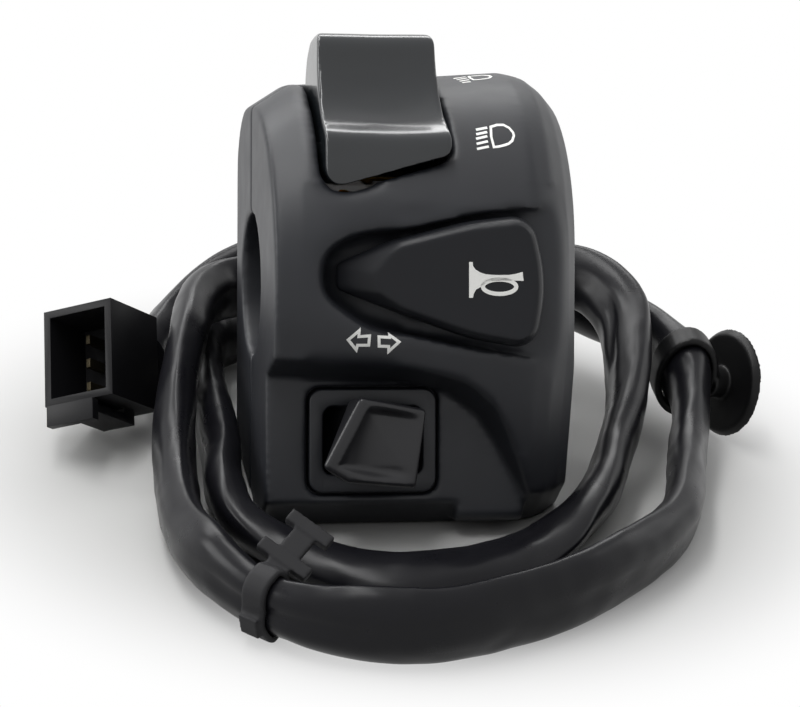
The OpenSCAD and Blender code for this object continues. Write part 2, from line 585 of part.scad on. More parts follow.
route_len = [for (i = 1, s = norm(route[1] - route[0]); i < len(route);
    i = i + 1, s = s + (i < len(route) ? norm(route[i] - route[i - 1]) : 0)) s];
echo(str("sleeve length: ", route_len[len(route_len) - 1]));

// Frame on the sleeve: local z along it, local y up, pitched with the sleeve by share k
module on_route(i, k = 1) {
    t = route[i + 1] - route[i - 1];
    translate(route[i]) rotate([0, 0, atan2(t[1], t[0])]) rotate([0, -k * atan2(t[2], norm(xy(t))), 0])
        rotate([90, 0, 90]) children();
}
module band(w, t, g) difference() {
    linear_extrude(w, center = true) polygon(oval(sleeve_t / 2 + g + t, sleeve_h / 2 + g + t, 36));
    linear_extrude(w + 2, center = true) polygon(oval(sleeve_t / 2 + g, sleeve_h / 2 + g, 36));
}
strap_t = 1.1;
module harness_strap() color(rubber) on_route(strap_at) {
    band(4.6, strap_t, 1.2);
    translate([sleeve_t / 2 + strap_t + 1.3, sleeve_h / 2 - 3.4, 0]) rotate([0, 0, 14]) {
        translate([-1.2, -0.6, -2]) cube([9.6, 1.3, 4]);
        for (x = [2.4, 6.8]) translate([x, -0.9, -3.6]) cube([1.8, 1.9, 7.2]);
    }
    translate([-sleeve_t / 2 - strap_t - 3, -sleeve_h / 2 + 2, -2]) cube([3.6, 1.3, 4]);
}

clip_t = 1.3;
// Stem between band and disc, turned toward the rear and tipped down
clip_stem = 3;
clip_turn = -16;
clip_tip = 12;
// Rise of the disc's axis over the sleeve, so that the disc stands on the surface
clip_rise = disc_d / 2 * cos(clip_tip) + (clip_stem + 0.8) * sin(clip_tip)
    - stand_h - route[clip_at][2] + 0.05;
module push_clip() color(rubber) {
    on_route(clip_at) band(4.4, clip_t, 0.7);
    on_route(clip_at, 0) translate([-sleeve_t / 2 - clip_t, clip_rise, 0])
        rotate([0, 0, clip_tip]) rotate([0, -90 - clip_turn, 0]) {
            translate([0, 0, -0.6]) cylinder(r = 2.6, h = clip_stem + 0.6);
            translate([0, 0, clip_stem - 0.6]) cylinder(d1 = disc_d - 2, d2 = disc_d, h = 1.4);
            translate([0, 0, clip_stem]) cylinder(r = 1.7, h = 6);
            for (z = [2, 3.6]) translate([0, 0, clip_stem + z])
                cylinder(r1 = 3.9 - z * 0.4, r2 = 1.8, h = 1.5);
            translate([0, 0, clip_stem + 5.2]) cylinder(r1 = 2.6, r2 = 0.6, h = 2.2);
        }
}

// Connector frame: local x out of the mouth, y across, z up, origin at the middle of the mouth
module at_connector() translate(conn_mid) rotate([0, 0, conn_turn]) rotate([0, -conn_tilt, 0])
    rotate([conn_roll, 0, 0]) children();
module block(x0, x1, y0, y1, z0, z1) translate([x0, y0, z0]) cube([x1 - x0, y1 - y0, z1 - z0]);
module connector_shell() color(rubber) at_connector() {
    difference() {
        block(-shroud_l, 0, -shroud_w / 2, shroud_w / 2, -shroud_h / 2, shroud_h / 2);
        block(-mouth, 1, -shroud_w / 2 + shroud_wall, shroud_w / 2 - shroud_wall,
            -shroud_h / 2 + shroud_wall, shroud_h / 2 - shroud_wall);
        each_pin() translate([-shroud_l - 1, 0, 0]) rotate([0, 90, 0])
            cylinder(d = wire_d + 0.2, h = 3, $fn = 16);
        each_pin() block(-shroud_l + 1, 0, -0.42, 0.42, -0.82, 0.82);
    }
    // Latch arm under the shroud, its root and its nose
    latch_z = -shroud_h / 2 - latch_drop;
    block(-shroud_l + 2, 2.4, -latch_w / 2, latch_w / 2, latch_z + 1, latch_z + 2.4);
    block(-shroud_l + 2, -shroud_l + 5, -latch_w / 2, latch_w / 2, latch_z + 1, -shroud_h / 2 + 0.2);
    block(1, 2.6, -latch_w / 2 - 1.4, latch_w / 2 + 1.4, latch_z - 1, latch_z + 2.4);
}
module each_pin() for (i = [0 : pin_cols - 1], j = [0 : pin_rows - 1])
    translate([0, (i - (pin_cols - 1) / 2) * pin_pitch, (j - (pin_rows - 1) / 2) * pin_pitch]) children();
module connector_terminals() color(brass) at_connector() each_pin()
    block(-shroud_l + 2, -pin_back, -0.4, 0.4, -0.8, 0.8);
// One wire from the sleeve's end to each way of the connector
function turned(u, v, a) = [u * cos(a) - v * sin(a), u * sin(a) + v * cos(a)];
function conn_pt(p) = let (
    r = turned(p[1], p[2], conn_roll), t = turned(p[0], r[1], conn_tilt), q = turned(t[0], r[0], conn_turn))
    conn_mid + [q[0], q[1], t[1]];
sleeve_end = route[len(route) - 1];
end_dir = unit(sleeve_end - route[len(route) - 2]);
end_side = unit(cross([0, 0, 1], end_dir));
module connector_wires() color(rubber) for (i = [0 : pin_cols - 1], j = [0 : pin_rows - 1]) {
    y = (i - (pin_cols - 1) / 2) * pin_pitch;
    z = (j - (pin_rows - 1) / 2) * pin_pitch;
    from = sleeve_end + end_side * y * 0.5 + [0, 0, z * 0.7];
    to = conn_pt([-shroud_l + 1, y, z]);
    back = conn_pt([-shroud_l - 5, y, z]);
    mid = (from + end_dir * 6 + back) / 2;
    skin(tube_rings([from, from + end_dir * 4, mid, back, to], wire_d / 2, wire_d / 2, 8));
}

front_housing();
rear_housing();
housing_screws();
grommet();
inner_wires();
dimmer_rocker();
dimmer_pin();
dimmer_base();
dimmer_contacts();
dimmer_bridge();
horn_button();
horn_bridge();
horn_base();
horn_contacts();
horn_screws();
turn_bezel();
turn_base();
turn_carrier();
turn_pin();
turn_wiper();
turn_contacts();
turn_knob();
harness_sleeve();
harness_strap();
push_clip();
connector_shell();
connector_terminals();
connector_wires();
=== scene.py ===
"""Looks of a left-hand handlebar switch cluster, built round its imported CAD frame.

Every piece is in metres in the CAD frame: the origin is on the handlebar axis at mid width, +X runs along
the bar, +Y to the rear and +Z up. The housing leans back, so its own pieces are drawn upright in millimetres
about the bar and then leaned. Sizes in the classes are in millimetres unless they say otherwise.
"""
from __future__ import annotations

import json
import logging
from dataclasses import dataclass, field
from enum import Enum
from math import acos, atan2, ceil, copysign, cos, exp, hypot, pi, radians, sin, tan
from typing import Callable, Sequence

import bmesh
import bpy
from mathutils import Matrix, Vector, noise
from mathutils.bvhtree import BVHTree

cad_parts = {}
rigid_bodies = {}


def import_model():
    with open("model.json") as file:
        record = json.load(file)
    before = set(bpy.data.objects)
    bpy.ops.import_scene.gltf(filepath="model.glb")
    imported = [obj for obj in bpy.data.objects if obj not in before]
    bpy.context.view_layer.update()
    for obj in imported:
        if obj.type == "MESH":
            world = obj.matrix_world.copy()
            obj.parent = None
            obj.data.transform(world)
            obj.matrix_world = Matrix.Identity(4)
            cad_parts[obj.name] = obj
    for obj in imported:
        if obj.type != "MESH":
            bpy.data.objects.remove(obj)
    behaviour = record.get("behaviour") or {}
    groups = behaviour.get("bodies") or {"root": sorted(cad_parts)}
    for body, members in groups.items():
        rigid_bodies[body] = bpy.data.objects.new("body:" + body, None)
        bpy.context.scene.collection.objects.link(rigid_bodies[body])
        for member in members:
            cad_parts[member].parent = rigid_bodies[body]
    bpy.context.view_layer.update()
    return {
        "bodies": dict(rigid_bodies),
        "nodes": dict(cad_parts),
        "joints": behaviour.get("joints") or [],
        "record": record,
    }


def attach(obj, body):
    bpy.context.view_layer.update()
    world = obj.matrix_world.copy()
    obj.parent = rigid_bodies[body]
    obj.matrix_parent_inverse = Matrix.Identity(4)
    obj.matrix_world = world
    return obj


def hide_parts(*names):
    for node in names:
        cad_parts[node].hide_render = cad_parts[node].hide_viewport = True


LOG = logging.getLogger("switch_cluster")
MM = 0.001
LEAN = radians(20.0)
FLOOR_Z = -31.0
# Distance at which doubles of a CAD mesh merge, and angle under which its faces are one.
MERGE_MM, FLAT_DEG = 0.0005, 0.3
# Edges of an outline that are shorter than this have no direction.
TINY_MM = 1e-6
# Least height of a soft piece's points, a hair above the surface.
REST_Z = (FLOOR_Z + 0.03) * MM
LEANED = Matrix.Rotation(-LEAN, 4, "X")
# Turns a plane's z out of the front.
FACING = Matrix.Rotation(pi / 2, 4, "X")
HORN_FRAME = (
    LEANED @ Matrix.Translation(Vector((3.0, -23.5, 0.8)) * MM)
    @ Matrix.Rotation(radians(-7.5), 4, "Z") @ FACING)

Corner = tuple[float, float, float]
Flat = tuple[float, float]
Row = tuple[float, ...]
Line = tuple[Flat, ...]
Piece = bpy.types.Object
Nodes = dict[str, Piece]
Mesh = bmesh.types.BMesh
Tree = bpy.types.NodeTree


class Body(Enum):
    """CAD bodies that pieces ride on."""

    HOUSING = "housing"
    DIMMER = "dimmer"
    HORN = "horn"
    KNOB = "turn_knob"


class Slot(Enum):
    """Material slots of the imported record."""

    HOUSING = "housing_plastic"
    SWITCH = "switch_plastic"
    SLEEVE = "sleeve_vinyl"
    RUBBER = "rubber"
    CLIP = "clip_nylon"


def linear(code: str) -> tuple[float, float, float, float]:
    """Turns an sRGB hex colour into linear RGBA.

    Args:
        code: Colour as "#rrggbb".

    Returns:
        Linear red, green, blue and an alpha of 1.
    """
    parts = [int(code[i:i + 2], 16) / 255 for i in (1, 3, 5)]
    red, green, blue = (c / 12.92 if c <= 0.04045 else ((c + 0.055) / 1.055) ** 2.4 for c in parts)
    return red, green, blue, 1.0


def ramp(value: float, low: float, high: float) -> float:
    """Gives how far a value has come from low to high, as a share from 0 to 1."""
    return min(1.0, max(0.0, (value - low) / (high - low)))


def between(one: Flat, two: Flat, at: float) -> float:
    """Gives the height at a place on the straight line through two points."""
    return one[1] + (two[1] - one[1]) * (at - one[0]) / (two[0] - one[0])


def fresh_tree(owner: bpy.types.Material | bpy.types.World) -> Tree:
    """Empties the node tree of a material or world.

    Args:
        owner: New material or world.

    Returns:
        Its node tree, without nodes.
    """
    owner.use_nodes = True
    owner.node_tree.nodes.clear()
    return owner.node_tree


def add_node(
    tree: Tree,
    kind: str,
    settings: dict[str, object] | None = None,
    sockets: dict[str | int, object] | None = None,
    links: dict[str | int, bpy.types.NodeSocket] | None = None,
) -> bpy.types.Node:
    """Adds a shader node with its settings, socket values and incoming links.

    Args:
        tree: Node tree that gets the node.
        kind: Blender's node type without its common start, ShaderNode.
        settings: Attributes of the node.
        sockets: Values of input sockets, by name or index.
        links: Output sockets that feed input sockets, by name or index.

    Returns:
        The new node.
    """
    node = tree.nodes.new(f"ShaderNode{kind}")
    for key, value in (settings or {}).items():
        setattr(node, key, value)
    for key, value in (sockets or {}).items():
        node.inputs[key].default_value = value
    for key, socket in (links or {}).items():
        tree.links.new(socket, node.inputs[key])
    return node


@dataclass(frozen=True)
class Finish:
    """A surface finish as a procedural material, with pattern sizes in millimetres.

    The grain is the skin that the mould or the extruder leaves, the mottle is a slow change of colour and the
    sheen variation is where handling has polished the skin.
    """

    name: str
    colour: str
    shade: str
    roughness: float
    ior: float = 1.5
    metallic: float = 0.0
    coat: float = 0.0
    coat_roughness: float = 0.1
    specular: float = 0.5
    grain_mm: float = 0.5
    grain_depth_mm: float = 0.02
    grain_strength: float = 0.3
    mottle_mm: float = 14.0
    polish_share: float = 0.35
    rough_swing: float = 0.06

    def material(self) -> bpy.types.Material:
        """Gives the Blender material of this finish, made once.

        Returns:
            The material.
        """
        found = bpy.data.materials.get(self.name)
        if found:
            return found
        made = bpy.data.materials.new(self.name)
        tree = fresh_tree(made)
        where = {"Vector": add_node(tree, "TexCoord").outputs["Object"]}
        mottle, polish, grain = (
            add_node(
                tree, "TexNoise", sockets={"Scale": 1 / (size * MM), "Detail": detail, "Roughness": rough},
                links=where).outputs["Fac"]
            for size, detail, rough in (
                (self.mottle_mm, 3.0, 0.6), (self.mottle_mm * self.polish_share, 4.0, 0.5), (self.grain_mm, 2.0, 0.6)))
        colour = add_node(
            tree, "Mix", {"data_type": "RGBA"}, {6: linear(self.colour), 7: linear(self.shade)},
            {0: mottle})
        rough = add_node(
            tree, "MapRange",
            sockets={3: self.roughness - self.rough_swing, 4: self.roughness + self.rough_swing},
            links={0: polish})
        bump = add_node(
            tree, "Bump",
            sockets={"Strength": self.grain_strength, "Distance": self.grain_depth_mm * MM},
            links={"Height": grain})
        shader = add_node(
            tree, "BsdfPrincipled",
            sockets={
                "Metallic": self.metallic, "IOR": self.ior, "Coat Weight": self.coat,
                "Coat Roughness": self.coat_roughness, "Specular IOR Level": self.specular},
            links={
                "Base Color": colour.outputs[2], "Roughness": rough.outputs[0], "Normal": bump.outputs["Normal"]})
        add_node(tree, "OutputMaterial", links={"Surface": shader.outputs["BSDF"]})
        return made


# Injection-moulded ABS with a spark-eroded skin: charcoal, matt, with a grain coarse enough to show.
HOUSING_ABS = Finish(
    "ABS_spark_textured", "#18191d", "#1d1f24", 0.46, specular=0.38, grain_mm=0.45, grain_depth_mm=0.02)
# Polished ABS of the rocker: grey black, with clear reflections.
ROCKER_ABS = Finish(
    "ABS_polished", "#15181b", "#1a1d20", 0.2, specular=0.45, coat=0.25, coat_roughness=0.06, grain_mm=2.2,
    grain_depth_mm=0.01, grain_strength=0.12, rough_swing=0.04)
# Satin ABS of the horn button: finer skin than the housing.
BUTTON_ABS = Finish(
    "ABS_satin", "#141518", "#18191d", 0.4, specular=0.2, grain_mm=0.4, grain_depth_mm=0.012, grain_strength=0.2)
# Satin ABS of the turn knob: rubbed a little brighter by the thumb.
KNOB_ABS = Finish(
    "ABS_thumb_worn", "#17171a", "#1d1d20", 0.34, specular=0.4, grain_mm=0.4, grain_depth_mm=0.012,
    grain_strength=0.2)
# Soft PVC sleeve: black, drawn over the wires, with a slight gloss and faint drawing marks.
SLEEVE_PVC = Finish(
    "PVC_sleeve", "#0d0d10", "#131317", 0.3, ior=1.53, specular=0.16, grain_mm=1.6, grain_depth_mm=0.05,
    grain_strength=0.25, rough_swing=0.09)
# EPDM rubber of strap and grommet: dull dark grey with a faint bloom.
STRAP_EPDM = Finish("EPDM_rubber", "#1a1a1c", "#212123", 0.6, specular=0.2, grain_mm=0.5, grain_depth_mm=0.02)
# Black nylon of the tie clip: satin.
CLIP_NYLON = Finish(
    "nylon_black", "#09090a", "#0d0d0e", 0.42, specular=0.18, ior=1.53, grain_mm=0.6, grain_depth_mm=0.015)
# Glass-filled nylon of the connector: satin black with a dry skin.
CONNECTOR_NYLON = Finish(
    "nylon_glass_filled", "#0c0c0e", "#121214", 0.42, ior=1.53, specular=0.14, grain_mm=0.35)
# Phenolic contact bases: dark brown, dry and speckled.
BASE_PHENOLIC = Finish("phenolic_moulded", "#2c2119", "#21180f", 0.55, grain_mm=0.5, mottle_mm=1.5)
# Stamped brass of the contacts: warm yellow, a little dulled.
CONTACT_BRASS = Finish(
    "brass_stamped", "#c9a14a", "#a9823a", 0.3, metallic=1.0, grain_mm=0.3, grain_depth_mm=0.006, mottle_mm=2.0)
# Tin-plated terminals of the connector: dull grey gold of the tin, darkened further as painted shade of the
# connector's dark inside.
TERMINAL_TIN_PAINTED_SHADE = Finish(
    "brass_tin_plated_painted_shade", "#5e5746", "#4a4436", 0.5, metallic=1.0, grain_mm=0.3, grain_depth_mm=0.006, mottle_mm=2.0)
# Zinc-plated steel of pins and screws: pale grey, softly bright.
PIN_STEEL = Finish(
    "steel_zinc_plated", "#a9abad", "#8f9194", 0.32, metallic=1.0, grain_mm=0.3, grain_depth_mm=0.006,
    mottle_mm=3.0)
# PVC insulation of the single wires: dark grey, smooth.
WIRE_PVC = Finish("PVC_wire", "#1a1a1c", "#212123", 0.4, grain_mm=0.8)
# Pad-printed ink: white, thin and slightly chalky.
PRINT_INK = Finish("ink_white", "#e9e9e6", "#dededb", 0.6, grain_mm=0.35, grain_depth_mm=0.01)


def add_object(name: str, data: bpy.types.ID) -> Piece:
    """Adds an object to the scene.

    Args:
        name: Object name.
        data: Its mesh, camera or lamp.

    Returns:
        The object, at the origin.
    """
    made = bpy.data.objects.new(name, data)
    bpy.context.scene.collection.objects.link(made)
    return made


def mesh_object(bm: Mesh, name: str) -> Piece:
    """Adds an object with the mesh of a bmesh.

    Args:
        bm: Finished bmesh, which is freed.
        name: Name of object and mesh.

    Returns:
        The object, at the origin.
    """
    mesh = bpy.data.meshes.new(name)
    bm.to_mesh(mesh)
    bm.free()
    return add_object(name, mesh)


def new_piece(bm: Mesh, name: str, body: Body, finish: Finish, sharp_deg: float = 80.0) -> Piece:
    """Makes a piece of a bmesh, smooth but for the edges that are sharper than an angle.

    Args:
        bm: Finished bmesh in metres in the CAD frame, which is freed.
        name: Piece name.
        body: Body that the piece rides on.
        finish: Finish of the whole piece.
        sharp_deg: Angle over which an edge stays sharp, in degrees.

    Returns:
        The piece, at the origin.
    """
    limit = radians(sharp_deg)
    for face in bm.faces:
        face.smooth = True
    for edge in bm.edges:
        edge.smooth = len(edge.link_faces) != 2 or edge.calc_face_angle(0.0) < limit
    piece = mesh_object(bm, name)
    piece.data.materials.append(finish.material())
    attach(piece, body.value)
    return piece


def stand_in(piece: Piece, node: str) -> Piece:
    """Hides the CAD node that a piece stands for.

    Args:
        piece: New piece.
        node: Name of the CAD node that it replaces.

    Returns:
        The same piece.
    """
    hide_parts(node)
    return piece


def node_bmesh(node: Piece) -> Mesh:
    """Copies a CAD node's mesh with its doubles merged and its flat faces joined.

    Args:
        node: CAD node.

    Returns:
        A new bmesh.
    """
    bm = bmesh.new()
    bm.from_mesh(node.data)
    bmesh.ops.remove_doubles(bm, verts=bm.verts, dist=MERGE_MM * MM)
    bmesh.ops.dissolve_limit(bm, angle_limit=radians(FLAT_DEG), verts=bm.verts, edges=bm.edges)
    return bm


def loop_edges(bm: Mesh, points: Sequence[Vector]) -> list[bmesh.types.BMEdge]:
    """Adds a closed loop of edges through some points and gives the edges."""
    verts = [bm.verts.new(p) for p in points]
    return [bm.edges.new(pair) for pair in zip(verts, [*verts[1:], verts[0]])]


def bevel_sharp(bm: Mesh, width_mm: float, angle_deg: float = 30.0, segments: int = 3) -> None:
    """Rounds the edges of a bmesh that are sharper than an angle.

    Args:
        bm: Mesh to change.
        width_mm: Width of the rounding.
        angle_deg: Least angle between the faces of a rounded edge, in degrees.
        segments: Steps of the rounding.
    """
    limit = radians(angle_deg)
    edges = [e for e in bm.edges if len(e.link_faces) == 2 and e.calc_face_angle(0.0) > limit]
    bmesh.ops.bevel(
        bm, geom=edges, offset=width_mm * MM, offset_type="OFFSET", affect="EDGES", segments=segments, profile=0.5,
        clamp_overlap=True, material=-1)


def remeshed(bm: Mesh, voxel_mm: float) -> Mesh:
    """Rebuilds a closed bmesh as an even skin of small quads.

    Args:
        bm: Closed mesh, which is freed.
        voxel_mm: Size of the quads.

    Returns:
        The new bmesh.
    """
    holder = mesh_object(bm, "skin")
    change = holder.modifiers.new("skin", "REMESH")
    change.mode = "VOXEL"
    change.voxel_size = voxel_mm * MM
    graph = bpy.context.evaluated_depsgraph_get()
    even = bpy.data.meshes.new_from_object(holder.evaluated_get(graph), depsgraph=graph)
    bpy.data.objects.remove(holder)
    made = bmesh.new()
    made.from_mesh(even)
    return made


def soften(bm: Mesh, passes: int, verts: Sequence[bmesh.types.BMVert] | None = None) -> None:
    """Rounds an even skin by moving points toward their neighbours several times.

    Args:
        bm: Skin to change.
        passes: Number of times.
        verts: Points that move, or None for all.
    """
    for _ in range(passes):
        bmesh.ops.smooth_vert(
            bm, verts=verts or bm.verts, factor=0.5, use_axis_x=True, use_axis_y=True, use_axis_z=True)


def inset(corners: Sequence[Corner], edges: Sequence[float], least_radius: float = 0.3) -> list[Corner]:
    """Moves the edges of an outline inward.

    Args:
        corners: Corners as (u, v, radius).
        edges: Distance of each edge, from its corner to the next.
        least_radius: Radius that every new corner has at least.

    Returns:
        The new corners.
    """
    count = len(corners)
    moved = []
    for i in range(count):
        here, before, after = (Vector(corners[j % count][:2]) for j in (i, i - 1, i + 1))
        e0, e1 = (here - before).normalized(), (after - here).normalized()
        d0, d1 = edges[i - 1], edges[i]
        spot = here + (e1 * d0 - e0 * d1) / (e0.x * e1.y - e0.y * e1.x)
        moved.append((spot.x, spot.y, max(corners[i][2] - (d0 + d1) / 2, least_radius)))
    return moved


def rounded(corners: Sequence[Corner], steps: int) -> list[Flat]:
    """Rounds the corners of an outline.

    Args:
        corners: Corners as (u, v, radius).
        steps: Steps of each rounded corner.

    Returns:
        Points of the outline.
    """
    count = len(corners)
    points = []
    for i in range(count):
        here, before, after = (Vector(corners[j % count][:2]) for j in (i, i - 1, i + 1))
        radius = corners[i][2]
        u, v = (before - here).normalized(), (after - here).normalized()
        half = acos(max(-1.0, min(1.0, u.dot(v)))) / 2
        middle = here + (u + v).normalized() * radius / sin(half)
        first, last = (here + way * radius / tan(half) - middle for way in (u, v))
        a0, a1 = atan2(first.y, first.x), atan2(last.y, last.x)
        sweep = (a1 - a0 + 3 * pi) % (2 * pi) - pi
        for j in range(steps + 1):
            a = a0 + sweep * j / steps
            points.append((middle.x + radius * cos(a), middle.y + radius * sin(a)))
    return points


@dataclass
class Housing:
    """Front and rear half of the housing, clamped on the bar, with a smooth barrel and rounded edges."""

    width: float = 48.4
    barrel_r: float = 30.5
    barrel_y: float = 2.0
    barrel_z: float = 1.0
    rear_reach: float = 20.4
    foot_y: float = -11.0
    chin: Flat = (-20.3, -31.7)
    left_run: float = 5.7
    right_run: float = 8.5
    left_chamfer: Row = (0, 0, 0, 0, 2.6, 3.7)
    right_rise: Row = (0, 0, 0, 0, 0, -2.4)
    right_chamfer: Row = (11.5, 8.5, 5, 0, 3, 2.2)
    right_steps: Line = ((0.62, 0.14), (0.3, 0.5))
    voxel: float = 0.5
    passes: int = 4
    corner_steps: int = 40
    # Distance from the smooth shell up to which a point is looked for, not moved and fully moved.
    shell_reach: Corner = (0.45, 0.42, 0.22)
    shell_facing: float = 0.86
    # Drop of the pocket's upper rim along it, and the band across and through the wall that is drawn along.
    pocket_top: Line = ((-17.5, 0), (-14, 1.0), (-10, 1.7), (-5, 1.3), (2, 0.4), (8, 0))
    pocket_band: Row = (4, 7, 10, 15)
    pocket_wall: Flat = (-1, 12)
    # Room that the pocket's rim takes, and the stretch between its two soft ends.
    pocket_room: tuple[Flat, Flat, Flat] = ((-22, 24), (-15, 15), (-4, 9))
    pocket_middle: Flat = (-7.5, 14.5)
    pocket_ends: int = 40
    pocket_rim: int = 6

    def ground(self, y: float) -> float:
        """Gives the height of the standing surface under a point of the upright housing."""
        return (FLOOR_Z + y * sin(LEAN)) / cos(LEAN)

    def outline(self) -> list[Corner]:
        """Lays out the side outline, down the front and up the rear.

        Returns:
            Corners (y, z, radius).
        """
        front, top = self.barrel_y - self.barrel_r, self.barrel_z + self.barrel_r
        return [
            (front, top, self.barrel_r), (front, -4, 18), (*self.chin, 1.2),
            (self.foot_y, self.ground(self.foot_y), 2), (self.rear_reach, self.ground(self.rear_reach), 6),
            (self.rear_reach, top, 14)]

    def smooth_shell(self) -> BVHTree:
        """Builds the outside of both halves with fine steps.

        Returns:
            A search tree of the surface, in metres in the CAD frame.
        """
        half = self.width / 2
        ends = [
            (-half, self.left_chamfer), (-half + self.left_run, (0,) * len(self.left_chamfer)),
            (half - self.right_run, self.right_rise)]
        for run, share in self.right_steps:
            mixed = [a * (1 - share) + b * share for a, b in zip(self.right_rise, self.right_chamfer)]
            ends.append((half - self.right_run * run, mixed))
        ends.append((half, self.right_chamfer))
        bm = bmesh.new()
        loops = []
        for x, edges in ends:
            ring = rounded(inset(self.outline(), edges), self.corner_steps)
            loops.append(loop_edges(bm, [LEANED @ (Vector((x, y, z)) * MM) for y, z in ring]))
        for one, two in zip(loops, loops[1:]):
            bmesh.ops.bridge_loops(bm, edges=one + two)
        tree = BVHTree.FromBMesh(bm)
        bm.free()
        return tree

    def draw_in_pocket(self, bm: Mesh) -> None:
        """Draws the upper rim of the horn pocket down to the button, so that its left end is slender.

        Args:
            bm: Even skin of a housing half.
        """
        back = HORN_FRAME.inverted()
        low, full, fading, high = self.pocket_band
        for vert in bm.verts:
            x, y, z = back @ vert.co / MM
            span = next((s for s in zip(self.pocket_top, self.pocket_top[1:]) if s[0][0] <= x < s[1][0]), None)
            if span and low < y < high and self.pocket_wall[0] < z < self.pocket_wall[1]:
                drop = between(*span, x) * ramp(y, low, full) * ramp(y, high, fading)
                vert.co = HORN_FRAME @ (Vector((x, y - drop, z)) * MM)

    def ease_pocket(self, bm: Mesh) -> None:
        """Rounds the rim of the horn pocket, most at its blunt left end and where it runs out on the right.

        Args:
            bm: Even skin of a housing half.
        """
        back = HORN_FRAME.inverted()
        ends, rim = [], []
        for vert in bm.verts:
            here = back @ vert.co / MM
            if all(low < c < high for c, (low, high) in zip(here, self.pocket_room)):
                rim.append(vert)
                if not self.pocket_middle[0] <= here.x <= self.pocket_middle[1]:
                    ends.append(vert)
        for passes, verts in ((self.pocket_ends, ends), (self.pocket_rim, rim)):
            soften(bm, passes if verts else 0, verts)

    def half(self, node: Piece, name: str, shell: BVHTree) -> Piece:
        """Makes one half as an even skin, laid on the smooth shell where it follows it.

        Args:
            node: CAD node of the half.
            name: Piece name.
            shell: Search tree of the smooth outside.

        Returns:
            The piece.
        """
        bm = remeshed(node_bmesh(node), self.voxel)
        self.draw_in_pocket(bm)
        bm.normal_update()
        sought, none, full = self.shell_reach
        for vert in bm.verts:
            spot, normal, _, gap = shell.find_nearest(vert.co, sought * MM)
            if spot is not None and abs(normal.dot(vert.normal)) > self.shell_facing:
                vert.co = vert.co.lerp(spot, ramp(gap / MM, none, full))
        soften(bm, self.passes)
        self.ease_pocket(bm)
        return stand_in(new_piece(bm, name, Body.HOUSING, HOUSING_ABS), node.name)

    def build(self, nodes: Nodes) -> list[Piece]:
        """Builds both halves from the CAD nodes and gives the pieces."""
        shell = self.smooth_shell()
        return [self.half(nodes[f"{side}_housing"], f"housing_{side}", shell) for side in ("front", "rear")]


